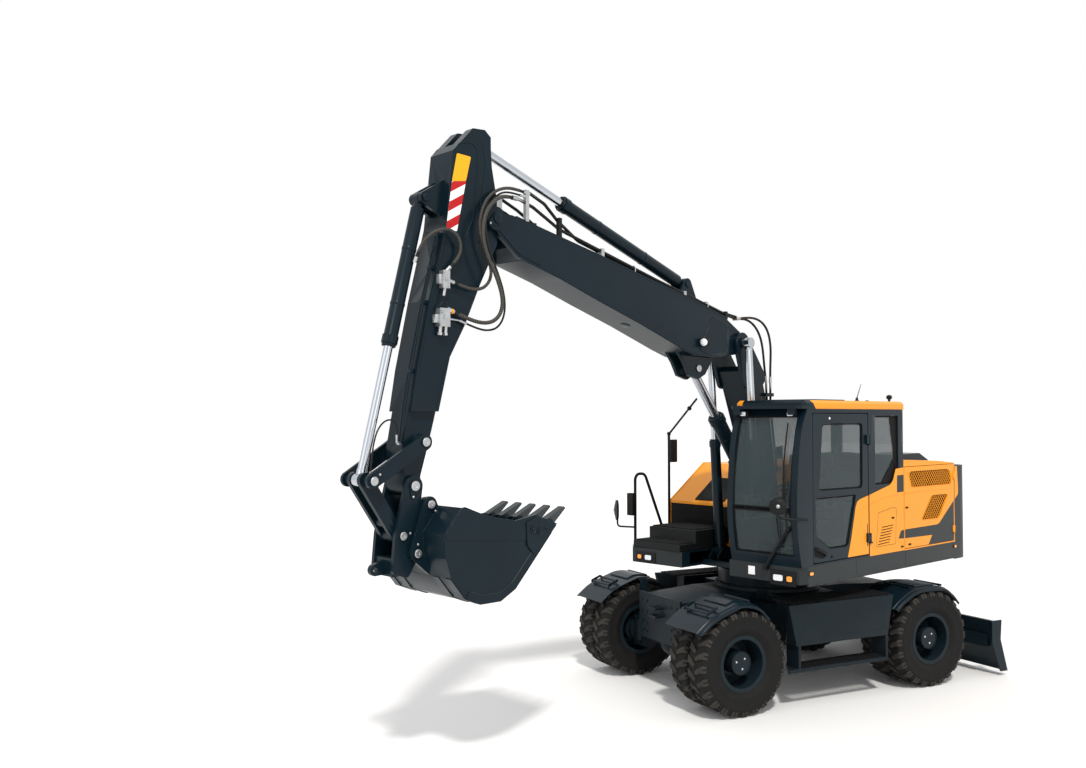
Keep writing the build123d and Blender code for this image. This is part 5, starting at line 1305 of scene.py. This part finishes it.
def lamp(name, at, way, size, lens):
    """A small oblong lamp: its black frame and its domed lens. It faces 'x' or 'y'; size is (width, height)."""
    x, y, z = at
    wide, high = size[0] / 2, size[1] / 2
    outer = pill(0.0, 0.0, wide, high, min(size) * 0.3)
    for part, scale, depth, paint, bevel, angle in (("frame", 1.0, 0.01, "plastic", 0.001, 35),
                                                    ("lens", 0.84, 0.014, lens, 0.0, 60)):
        loop = [(u * scale, v * scale) for u, v in outer]
        top = [(u * 0.9, v * 0.88) for u, v in loop]
        if way == "x":
            shape = Shape().stacked([[(x, y + u, z + v) for u, v in loop],
                                     [(x + depth, y + u, z + v) for u, v in top]])
        else:
            out = depth if y > 0 else -depth
            shape = Shape().stacked([[(x + u, y, z + v) for u, v in loop],
                                     [(x + u, y + out, z + v) for u, v in top]])
        place(f"{name}_{part}", shape, paint, "upper", bevel, angle)


def deck_details():
    """Lamps, blank plate, seams and skirt of the revolving deck."""
    for side, box in (("left", (1.166, 1.182, 0.868, 1.168, 1.285, 1.435)),
                      ("right", (1.13, 1.15, -1.01, -0.72, 1.32, 1.44))):
        place(f"head_lamp_box_{side}", Shape().box(*box), "plastic", "upper", 0.006, segments=3)
    for name, at, way, size, lens in (
            ("head_lamp_left", (1.182, 0.972, 1.362), "x", (0.145, 0.08), "lens"),
            ("turn_lamp_left", (1.182, 1.108, 1.362), "x", (0.08, 0.07), "amber"),
            ("head_lamp_right", (1.15, -0.815, 1.38), "x", (0.12, 0.07), "lens"),
            ("turn_lamp_right", (1.15, -0.945, 1.38), "x", (0.07, 0.06), "amber"),
            ("side_lamp_front_left", (1.01, 1.2402, 1.412), "y", (0.075, 0.04), "amber"),
            ("side_lamp_rear_left", (-2.09, 1.2402, 1.425), "y", (0.055, 0.04), "amber"),
            ("side_lamp_rear_right", (-2.09, -1.2402, 1.425), "y", (0.055, 0.04), "amber")):
        lamp(name, at, way, size, lens)
    plate = Shape().box(1.166, 1.169, 0.59, 0.672, 1.355, 1.442)
    place("blank_plate_front", plate, "white", "upper", 0.001)
    seam = Shape().boxes(*[(x - 0.002, x + 0.002, side * 1.2398, side * 1.2406, 1.312, 1.478)
                           for x in (-0.9, 0.15) for side in (1, -1)])
    place("deck_skirt_seams", seam, "seal", "upper")
    skirt = Shape().boxes((-2.108, 1.052, 1.214, 1.2395, 1.2805, 1.311),
                          (-2.108, -1.5, -1.2395, -1.214, 1.2805, 1.311))
    place("deck_skirt_lip", skirt, "slate", "upper", 0.003)
    rows = [((x, 1.2398, 1.296), (0, 1, 0)) for x in (-1.9, -1.5, -1.1, -0.7, -0.3, 0.1, 0.5, 0.9)]
    bolts("deck_skirt_bolts", "upper", rows, 0.01, "slate")


def right_flank():
    """The right housing's rim, steps and cap, and the front platform's grip."""
    rim = Shape()
    line = [(x, RIGHT_FACE + 0.006, z) for x, z in ((0.286, 1.485), (0.286, 1.962), (-0.364, 2.398),
            (-0.672, 2.399))]
    for a, b in zip(line, line[1:]):
        rim.bar(a, b, 0.012, 8)
    place("right_housing_rim", rim, "yellow", "upper", angle=60)
    steps = Shape().box(0.2885, 0.292, -1.205, -0.33, 1.52, 1.935)
    for z in (1.56, 1.655, 1.75, 1.845):
        steps.box(0.2915, 0.296, -1.16, -0.38, z, z + 0.055)
    place("right_housing_front", steps, "seal", "upper", 0.002)
    slope = Shape()
    low, high = Vector((0.287, 0, 1.965)), Vector((-0.364, 0, 2.4))
    near_end, far_end = low.lerp(high, 0.05), low.lerp(high, 0.62)
    lift = Vector((0.435, 0, 0.651)).normalized() * 0.012
    slope.prism([end + Vector((0, y, 0)) for end, y in ((near_end, -0.86), (far_end, -0.86), (far_end, -0.42),
                                                        (near_end, -0.42))], lift)
    place("right_housing_grip", slope, "grit", "upper", 0.003)
    for label, x, z, count in (("platform_grip_low", 0.885, 1.56, 6), ("platform_grip_high", 0.33, 1.7, 12)):
        repeated(label, Shape().box(-0.012, 0.012, -0.32, 0.32, 0.0, 0.014), count, (0.044, 0.0, 0.0), "grit",
                 "upper", Matrix.Translation((x, -0.71, z)), 30)
    cap = Shape().turned([(0.062, 0.0), (0.066, 0.006), (0.066, 0.028), (0.058, 0.034), (0.02, 0.036)],
                         (-0.56, -0.9, 2.4), UP, 32)
    place("filler_cap", cap, "plastic", "upper", angle=50)
    latch = Shape()
    for x in (-1.45, -0.55):
        latch.slab(pill(x, 1.935, 0.035, 0.015, 0.012), -1.2355, -1.2305)
    place("right_flank_latches", latch, "seal", "upper", 0.001)


def hood_details():
    """Raised cover, louvres, exhaust and lifting eyes on top."""
    cover = Shape().prism([(-0.96, -0.25, 2.519), (-1.64, -0.25, 2.519), (-1.64, 0.37, 2.519),
                           (-0.96, 0.37, 2.519)], (0.0, 0.0, 0.012))
    place("hood_cover", cover, "petrol", "hood", 0.006)
    side_cover = Shape().slab([(-1.16, 2.43), (-1.18, 2.545), (-1.84, 2.552), (-2.06, 2.462), (-2.07, 2.43)], 0.52,
                              0.94)
    place("filter_cover", side_cover, "petrol", "upper", 0.012, segments=3)
    repeated("hood_louvres", Shape().box(-0.012, 0.012, -0.22, 0.22, 0.0, 0.008), 11, (-0.05, 0.0, 0.0), "seal",
             "hood", Matrix.Translation((-1.05, 0.06, 2.531)))
    pipe = Shape().turned([(0.058, 0.0), (0.062, 0.008), (0.044, 0.014), (0.044, 0.15), (0.047, 0.156),
                           (0.04, 0.16), (0.036, 0.12)], (-1.45, -0.82, 2.437), UP, 32)
    place("exhaust_stub", pipe, "black", "upper", angle=50)
    eyes = Shape()
    for y in (-0.5, 0.5):
        eyes.turned(wire_loop(0.045, 0.014), (-2.32, y, 2.455), (0, 1, 0), 28, closed=True)
        eyes.turned([(0.03, 0.0), (0.032, 0.004), (0.032, 0.012), (0.022, 0.018)], (-2.32, y, 2.4), UP, 24)
    place("lifting_eyes", eyes, "slate", "upper", angle=50)
    for side, y in (("left", 0.82), ("right", -0.82)):
        place(f"tail_lamp_{side}", Shape().box(-2.565, -2.53, y - 0.13, y + 0.13, 1.36, 1.43), "tail", "upper",
              0.006)


def body_work():
    """Deck, housings, counterweight, hood and platform."""
    edge = [("slate", lambda c, n: 1.305 < c.z < 1.482 and (abs(c.y) > 1.1 or c.x > 1.1))]
    dress("upper_frame", "petrol", 0.006, edge)
    dress("counterweight", "slate", 0.055, segments=4)
    dress("left_housing", "yellow", 0.006, [("slate", lambda c, n: c.x < -2.08 and c.z < 1.99 and n.y > 0.5)],
          [((0, 0, 1.99), (0, 0, 1))])
    dress("right_housing", "yellow", 0.006)
    for side in ("left", "right"):
        service_door(side)
    for node, paint, bevel in (("hood", "petrol", 0.012), ("engine", "black", 0.02), ("platform", "black", 0.008)):
        dress(node, paint, bevel)
    corner = [(-2.112, 2.392), (-2.172, 2.39), (-2.196, 2.11), (-2.19, 2.05), (-2.112, 1.996)]
    panel("tail_corner_left", "yellow", "upper", corner, 0.002, ease=0.004)
    panel("tail_corner_right", "yellow", "upper", corner, 0.002, -1, 0.004, -1.24)
    dress("mirrors_and_rails", "black", 0.0)
    for name, at, way, radius in (("right", (1.11, -1.35, 1.884), (0.76, -0.65, 0.0), 0.112),
                                  ("left", (1.4, 1.126, 2.107), (0.85, 0.53, 0.0), 0.083)):
        at, way = Vector(at), Vector(way).normalized()
        face = Shape().turned([(radius, 0.0), (radius, 0.0018), (radius * 0.6, 0.003)], at - way * 0.0125, -way, 40)
        place(f"mirror_face_{name}", face, "mirror", "upper", angle=60)
        stud = Shape().turned([(radius * 0.22, 0.0), (radius * 0.2, 0.004), (radius * 0.05, 0.006)],
                              at + way * 0.0365, way, 20)
        place(f"mirror_stud_{name}", stud, "zinc", "upper", angle=60)
    pane = Shape().box(0.3475, 0.3495, -1.09, -1.058, 2.45, 2.705)
    place("mirror_face_post", pane, "mirror", "upper")
    deck_details()
    right_flank()
    hood_details()


# ------------------------------------------------------------------ working equipment
ARM_FACE = 0.16
STRIPE_LEAN = 0.16
ARM_WELDS = [  # radius, line on the arm's side (x, z)
    (0.006, [(4.585, 4.53), (4.505, 4.7), (4.47, 4.96), (4.44, 5.23), (4.455, 5.33), (4.52, 5.37), (4.64, 5.35),
             (4.7, 5.28)]),
    (0.005, [(4.395, 5.39), (4.36, 5.2), (4.4, 4.98), (4.42, 4.82), (4.395, 4.69), (4.4, 4.56), (4.46, 4.44)]),
    (0.004, [(4.56, 3.87), (4.775, 3.47), (4.885, 3.06)]),
    (0.004, [(5.05, 3.4), (4.925, 3.96), (4.762, 4.6)]),
]
BOOM_FACE = 0.2
BOOM_TOP = [(1.031, 4.091), (1.624, 4.252), (2.298, 4.401), (2.972, 4.557), (3.591, 4.69), (4.03, 4.79)]
PINS = [  # body, x, z, radius, the end's distance from the middle, finish, keeper plate angle or None
    ("upper_boom", 4.274, 4.735, 0.045, 0.232, "petrol", 5.7),
    ("lower_boom", 0.7, 3.81, 0.045, 0.212, "zinc", None),
    ("upper_boom", 1.358, 3.512, 0.04, 0.104, "zinc", None), ("upper", 0.02, 1.98, 0.045, 0.212, "zinc", 1.2),
    ("arm", 5.02, 2.788, 0.038, 0.212, "zinc", None), ("arm", 5.103, 2.429, 0.042, 0.178, "zinc", 4.9),
    ("rocker", 5.522, 2.488, 0.036, 0.214, "zinc", 2.4), ("bucket", 5.214, 2.03, 0.034, 0.172, "zinc", 2.9),
    ("bucket", 4.975, 2.275, 0.035, 0.222, "zinc", 4.0), ("bucket", 5.105, 1.885, 0.035, 0.222, "zinc", 1.6),
    ("arm", 4.947, 4.842, 0.034, 0.096, "petrol", None),
]


def along(line, x):
    """Height of a line of (x, z) at x."""
    for (x0, z0), (x1, z1) in zip(line, line[1:]):
        if x0 <= x <= x1:
            return z0 + (z1 - z0) * (x - x0) / (x1 - x0)
    return line[0][1] if x < line[0][0] else line[-1][1]


def near(c, line, reach):
    """Whether a point is within reach of a line of points."""
    for a, b in zip(line, line[1:]):
        a, b = Vector(a), Vector(b)
        t = max(0.0, min(1.0, (c - a).dot(b - a) / (b - a).length_squared))
        if (a + (b - a) * t - c).length < reach:
            return True
    return False


def fitting_at(name, end):
    """The crimped ferrule past the end of a hose, as a short line."""
    points = HOSES[name][5]
    a, b = (Vector(points[0]), Vector(points[1])) if end == 0 else (Vector(points[-1]), Vector(points[-2]))
    return [a, a + (a - b).normalized() * 0.085]


def cropped(loop, level, sign):
    """The part of a loop of (u, t) above a level of t, or below it where sign is -1."""
    kept = []
    for (u0, t0), (u1, t1) in zip(loop, loop[1:] + loop[:1]):
        a, b = (t0 - level) * sign, (t1 - level) * sign
        if a >= 0:
            kept.append((u0, t0))
        if a * b < 0:
            kept.append((u0 + (u1 - u0) * a / (a - b), level))
    return kept


def pin_ends():
    """Chamfered pin ends, their retaining plates and bolts."""
    for k, (body, x, z, radius, reach, paint, keeper) in enumerate(PINS):
        shape = Shape()
        for sign in (1, -1):
            shape.turned([(radius, -0.001), (radius, 0.0035), (radius * 0.86, 0.007), (radius * 0.3, 0.007),
                          (radius * 0.24, 0.004)], (x, sign * reach, z), (0, sign, 0), 32)
        place(f"pin_end_{k}", shape, paint, body, angle=30)
        if keeper is not None:
            shape = Shape()
            rows = []
            for sign in (1, -1):
                bx, bz = x + cos(keeper) * radius * 2.1, z + sin(keeper) * radius * 2.1
                shape.link([(x, z, radius * 1.25), (bx, bz, 0.02)], sign * (reach - 0.02), sign * (reach - 0.008),
                           12)
                rows.append(((bx, sign * (reach - 0.008), bz), (0, sign, 0)))
            place(f"pin_keeper_{k}", shape, "petrol", body, 0.002)
            bolts(f"pin_keeper_bolt_{k}", body, rows, 0.012)


def cylinder_details():
    """Gland bolts, wiper seals and clamp bands of the cylinders."""
    for kind, foot, eye, gland, barrel in (("adjust", (0.272, 0.0, 2.14), (1.358, 0.0, 3.512), 1.1, 0.082),
                                           ("arm", (1.52, 0.0, 4.41), (4.42, 0.0, 5.43), 1.9, 0.068),
                                           ("bucket", (4.947, 0.0, 4.842), (5.522, 0.0, 2.488), 1.3, 0.06)):
        body = kind + "_barrel"
        a = Vector(foot)
        way = (Vector(eye) - a).normalized()
        rows = circle_rows(a + way * (gland + 0.001), way, barrel * 0.84, 8)
        bolts(f"{kind}_gland_bolts", body, rows, 0.009, "petrol")
        wiper = Shape().turned([(barrel * 0.72, 0.0), (barrel * 0.72, 0.004), (barrel * 0.66, 0.006)],
                               a + way * (gland - 0.001), way, 36)
        place(f"{kind}_gland_seal", wiper, "seal", body, angle=40)
        bands = Shape()
        for at in (0.35, 0.72):
            centre = a + way * gland * at
            bands.turned([(barrel + 0.0015, -0.012), (barrel + 0.003, -0.01), (barrel + 0.003, 0.01),
                          (barrel + 0.0015, 0.012)], centre, way, 40, closed=True)
        place(f"{kind}_barrel_bands", bands, "petrol", body, angle=40)


def boom_details():
    """The upper boom's lamp, welds, doublers, belly plug and pipe hoops."""
    lamp_box = Shape().box(1.4, 1.48, 0.2005, 0.245, 3.735, 3.825)
    place("boom_lamp_bracket", lamp_box, "petrol", "upper_boom", 0.008, segments=3)
    for name, paint, angle, profile in (
            ("case", "plastic", 40, [(0.036, -0.075), (0.046, -0.06), (0.048, 0.0), (0.043, 0.008)]),
            ("lens", "lens", 60, [(0.04, 0.008), (0.038, 0.014), (0.018, 0.019)])):
        part = Shape().turned(profile, (1.47, 0.262, 3.78), (1.0, 0.38, -0.1), 32)
        place(f"boom_lamp_{name}", part, paint, "upper_boom", angle=angle)
    weld = Shape()
    low = [(1.15, 3.65), (1.56, 3.655), (1.79, 3.725), (2.404, 3.935), (2.974, 4.113), (3.502, 4.287), (3.9, 4.39)]
    top = [(x, z - 0.018) for x, z in BOOM_TOP if x < 3.95]
    for side in (-1, 1):
        for line in (low, top):
            weld.pipe([(x, side * (BOOM_FACE - 0.001), z) for x, z in line], 0.004, 6)
    place("upper_boom_welds", weld, "petrol", "upper_boom", angle=70)
    tip = [(3.72, 4.69), (4.08, 4.768), (4.33, 4.76), (4.35, 4.715), (4.25, 4.64), (4.01, 4.45), (3.73, 4.365)]
    root = [(0.985, 3.985), (1.24, 4.08), (1.48, 3.7), (1.33, 3.66), (1.02, 3.7)]
    for name, outline, thick in (("boom_tip_doubler", tip, 0.006), ("boom_root_doubler", root, 0.005)):
        plate = Shape()
        for side in (-1, 1):
            plate.slab(eased(outline, 0.03), side * BOOM_FACE, side * (BOOM_FACE + thick))
        place(name, plate, "petrol", "upper_boom", 0.003)
    plug = Shape().turned([(0.052, 0.0), (0.052, -0.006), (0.04, -0.008)], (2.404, 0.0, 3.921),
                          Vector((-0.32, 0, 1)), 28)
    place("boom_belly_plug", plug, "petrol", "upper_boom", angle=40)
    hoops = Shape()
    for x in (1.3, 2.45):
        z = along(BOOM_TOP, x)
        hoops.pipe([(x, 0.182, z - 0.002), (x, 0.182, z + 0.062), (x + 0.01, 0.105, z + 0.062),
                    (x + 0.01, 0.105, z - 0.002)], 0.006, 8)
    place("boom_pipe_hoops", hoops, "zinc", "upper_boom", angle=60)


def arm_details():
    """Stripes, blank plate, welds, valve bolts and fittings of the arm."""
    plate = [(4.523, 5.244), (4.675, 5.252), (4.728, 5.002), (4.577, 5.026)]
    low = [(4.577, 5.026), (4.728, 5.002), (4.79, 4.575), (4.673, 4.581)]
    for side, label in ((1, "left"), (-1, "right")):
        face = side * ARM_FACE
        for name, paint, outline, ease in (("plate", "plate", plate, 0.014), ("board", "white", low, 0.006)):
            place(f"arm_{name}_{label}", Shape().slab(eased(outline, ease), face, face + side * 0.0012), paint,
                  "arm")
        (ax, az), (bx, bz), (cx, cz), (dx, dz) = low
        stripes = Shape()
        for start in (-0.14, 0.26, 0.66):
            # each band leans from the board's rear edge (u = 0) down to its front edge (u = 1)
            loop = [(u, start + STRIPE_LEAN * u + w) for u, w in ((0, 0), (1, 0), (1, 0.2), (0, 0.2))]
            loop = cropped(cropped(loop, 0.0, 1), 1.0, -1)
            stripes.slab([(ax + (dx - ax) * t + u * (bx - ax + (cx - dx - bx + ax) * t),
                           az + (dz - az) * t + u * (bz - az + (cz - dz - bz + az) * t)) for u, t in loop],
                         face, face + side * 0.0018)
        place(f"arm_stripes_{label}", stripes, "red", "arm")
        weld = Shape()
        for radius, line in ARM_WELDS:
            weld.pipe([(x, face + side * 0.0005, z) for x, z in line], radius, 8 if radius > 0.0045 else 6)
        place(f"arm_welds_{label}", weld, "petrol", "arm", angle=70)
    band = Shape().turned([(0.0205, 0.0), (0.0225, 0.002), (0.0225, 0.02), (0.0205, 0.022)], (4.742, 0.199, 3.882),
                          (0.9, -0.13, 0.33), 20)
    place("arm_fitting_band", band, "yellow", "arm", angle=40)
    rows = [((x, y, z), (0, 1, 0)) for x, y, z in ((4.805, 0.2222, 4.092), (4.848, 0.2222, 4.208),
            (4.806, 0.2262, 3.765), (4.88, 0.2262, 3.89))]
    bolts("arm_valve_bolts", "arm", rows, 0.011)
    fittings = Shape()
    for x, y, z in ((4.826, 0.222, 4.15), (4.842, 0.226, 3.828), (4.868, 0.226, 3.872)):
        fittings.turned([(0.017, 0.0), (0.017, 0.012), (0.011, 0.014), (0.011, 0.022)], (x, y, z), (0, 1, 0), 6)
    for x in (4.821, 4.876):
        fittings.turned([(0.021, 0.0), (0.021, -0.022), (0.016, -0.024)], (x, 0.198, 3.7), UP, 6)
    place("arm_valve_fittings", fittings, "zinc", "arm", angle=30)
    drop_pipe = Shape().pipe([(4.84, 0.198, 4.012), (4.846, 0.198, 3.96), (4.872, 0.192, 3.93),
                              (4.905, 0.17, 3.905)], 0.0075, 8)
    place("arm_drain_pipe", drop_pipe, "petrol", "arm", angle=60)


def bucket_details():
    """Wear strips, side plates and cutters, welds, tooth adapters and lip shrouds."""
    wrapper = [(3.885, 1.985), (4.3, 1.545), (4.46, 1.462), (4.675, 1.461), (4.835, 1.522), (4.98, 1.697)]
    strips = Shape()
    line = [Vector(p) for p in wrapper]
    outline_out = []
    for i, p in enumerate(line):
        ahead = (line[min(i + 1, len(line) - 1)] - line[max(i - 1, 0)]).normalized()
        outline_out.append((p, Vector((ahead.y, -ahead.x))))
    loop = [tuple(p + n * 0.0065) for p, n in outline_out]
    loop += [tuple(p - n * 0.001) for p, n in reversed(outline_out)]
    for y in (-0.496, -0.33, 0.25, 0.416):
        strips.slab(loop, y, y + 0.08)
    place("bucket_wear_strips", strips, "petrol", "bucket", 0.002)
    inner = [tuple(p - n * 0.07) for p, n in outline_out[:5]]
    outer = [tuple(p - n * 0.004) for p, n in outline_out[:5]]
    upper_side = [(5.03, 2.01), (4.06, 1.93), (3.99, 2.0), (3.905, 2.076), (4.07, 2.148), (4.297, 2.114),
                  (4.517, 2.154), (4.88, 2.256), (5.04, 2.062)]
    cutter = eased([(3.835, 2.052), (4.09, 1.8), (4.18, 1.9), (4.19, 2.1), (4.07, 2.14), (3.95, 2.1)], 0.02)
    for side, label in ((1, "left"), (-1, "right")):
        face = side * 0.5
        for name, outline, low, high, bevel in (("strip", outer + inner[::-1], -0.001, 0.008, 0.003),
                                                ("upper", upper_side, -0.001, 0.005, 0.004),
                                                ("cutter", cutter, 0.0, 0.016, 0.004)):
            plate = Shape().slab(outline, face + side * low, face + side * high)
            place(f"bucket_side_{name}_{label}", plate, "petrol", "bucket", bevel)
        weld = Shape().pipe([(x, face + side * 0.001, z) for x, z in inner], 0.006, 8)
        place(f"bucket_side_weld_{label}", weld, "slate", "bucket", angle=70)
        bosses = Shape()
        for x, z in ((4.115, 2.03), (4.04, 2.01)):
            bosses.turned([(0.034, 0.0), (0.036, 0.004), (0.026, 0.005), (0.022, 0.001)],
                          (x, face + side * 0.016, z), (0, side, 0), 20)
        place(f"bucket_cutter_bosses_{label}", bosses, "petrol", "bucket", angle=40)
        rows = [((x, face + side * 0.016, z), (0, side, 0)) for x, z in ((4.115, 2.03), (4.04, 2.01), (3.96, 2.03))]
        bolts(f"bucket_cutter_bolts_{label}", "bucket", rows, 0.02, "petrol")
    adapters = Shape()
    for y in (-0.392, -0.196, 0.0, 0.196, 0.392):
        for y0, y1 in ((y - 0.044, y - 0.0385), (y + 0.0385, y + 0.044)):
            adapters.slab([(4.01, 1.9), (3.9, 1.985), (3.8, 2.068), (3.835, 2.1), (3.93, 2.088), (4.075, 1.96)], y0,
                          y1)
        adapters.turned([(0.014, 0.0), (0.014, 0.005), (0.009, 0.006)], (3.88, y + 0.044, 2.035), (0, 1, 0), 16)
    place("bucket_tooth_adapters", adapters, "petrol", "bucket", 0.002)
    lip = Shape()
    for y in (-0.294, -0.098, 0.098, 0.294):
        lip.slab([(3.845, 2.035), (3.905, 1.975), (3.925, 1.993), (3.872, 2.052)], y - 0.048, y + 0.048)
    place("bucket_lip_shrouds", lip, "petrol", "bucket", 0.004)
    ribs = Shape()
    for y in (-0.14, 0.104):
        ribs.slab([(4.99, 1.83), (5.045, 1.87), (5.045, 1.94), (4.985, 1.98)], y, y + 0.036)
    place("bucket_back_ribs", ribs, "petrol", "bucket", 0.004)


def equipment():
    """Booms, arm, cylinders, linkage, coupler and bucket."""
    boom_ends = [fitting_at(n, 0) for n in ("hose_arm_feed", "hose_arm_return", "hose_arm_drain", "hose_knee_low",
                                            "hose_knee_high")]

    def boom_zinc(c, n):
        if any(near(c, line, 0.034) for line in boom_ends):
            return True
        clamped = any(abs(c.x - middle) < 0.021 for middle in (1.68, 2.92, 3.91))
        return clamped and c.z > along(BOOM_TOP, c.x) + 0.003 and abs(c.y) > 0.1

    def boom_pipe(c, n):
        return c.z > max(4.05, along(BOOM_TOP, c.x) + 0.002) and abs(c.y) > 0.1035 and c.x > 0.77
    dress("upper_boom", "petrol", 0.006, [("zinc", boom_zinc), ("black", boom_pipe)])
    risers = [[(0.15, 0.165, 3.38), (0.15, 0.165, 3.3), (0.13, 0.15, 3.1), (-0.02, 0.13, 2.35)],
              [(0.176, 0.125, 3.391), (0.166, 0.12, 3.3), (0.13, 0.11, 3.08), (-0.02, 0.095, 2.35)]]
    low_ends = [fitting_at(n, 1) for n in ("hose_knee_low", "hose_knee_high")]
    dress("lower_boom", "petrol", 0.006, [("zinc", lambda c, n: any(near(c, line, 0.032) for line in low_ends)),
                                          ("black", lambda c, n: any(near(c, line, 0.021) for line in risers))])

    def arm_zinc(c, n):
        if c.y > 0.165 and 4.58 < c.x < 4.96 and 3.66 < c.z < 4.33:
            return True
        return near(c, fitting_at("hose_coupler", 0), 0.03)
    dress("arm", "petrol", 0.006, [("zinc", arm_zinc)])
    rocker_end = fitting_at("hose_coupler", 1)
    dress("rocker", "petrol", 0.006, [("zinc", lambda c, n: near(c, rocker_end, 0.02) and c.y > 0.09)])
    for node, paint in (("link", "petrol"), ("coupler", "petrol"), ("bucket", "petrol"), ("bucket_teeth", "teeth")):
        dress(node, paint, 0.006)
    bucket_end = fitting_at("hose_bucket_cylinder", 1)
    bucket_coats = [("zinc", lambda c, n: near(c, bucket_end, 0.03))]
    for barrel, rod, coats in (("adjust_barrel", "adjust_rod", ()), ("arm_barrel", "arm_rod", ()),
                               ("bucket_barrel", "bucket_rod", bucket_coats), ("lift_barrels", "lift_rods", ())):
        dress(barrel, "petrol", 0.004, coats)
        dress(rod, "chrome", 0.003)
    pin_ends()
    cylinder_details()
    boom_details()
    arm_details()
    bucket_details()


def main():
    """Build everything."""
    make_camera()
    hoses()
    make_light()
    make_floor()
    wheels()
    undercarriage()
    body_work()
    cab()
    equipment()
    bpy.context.view_layer.update()


main()
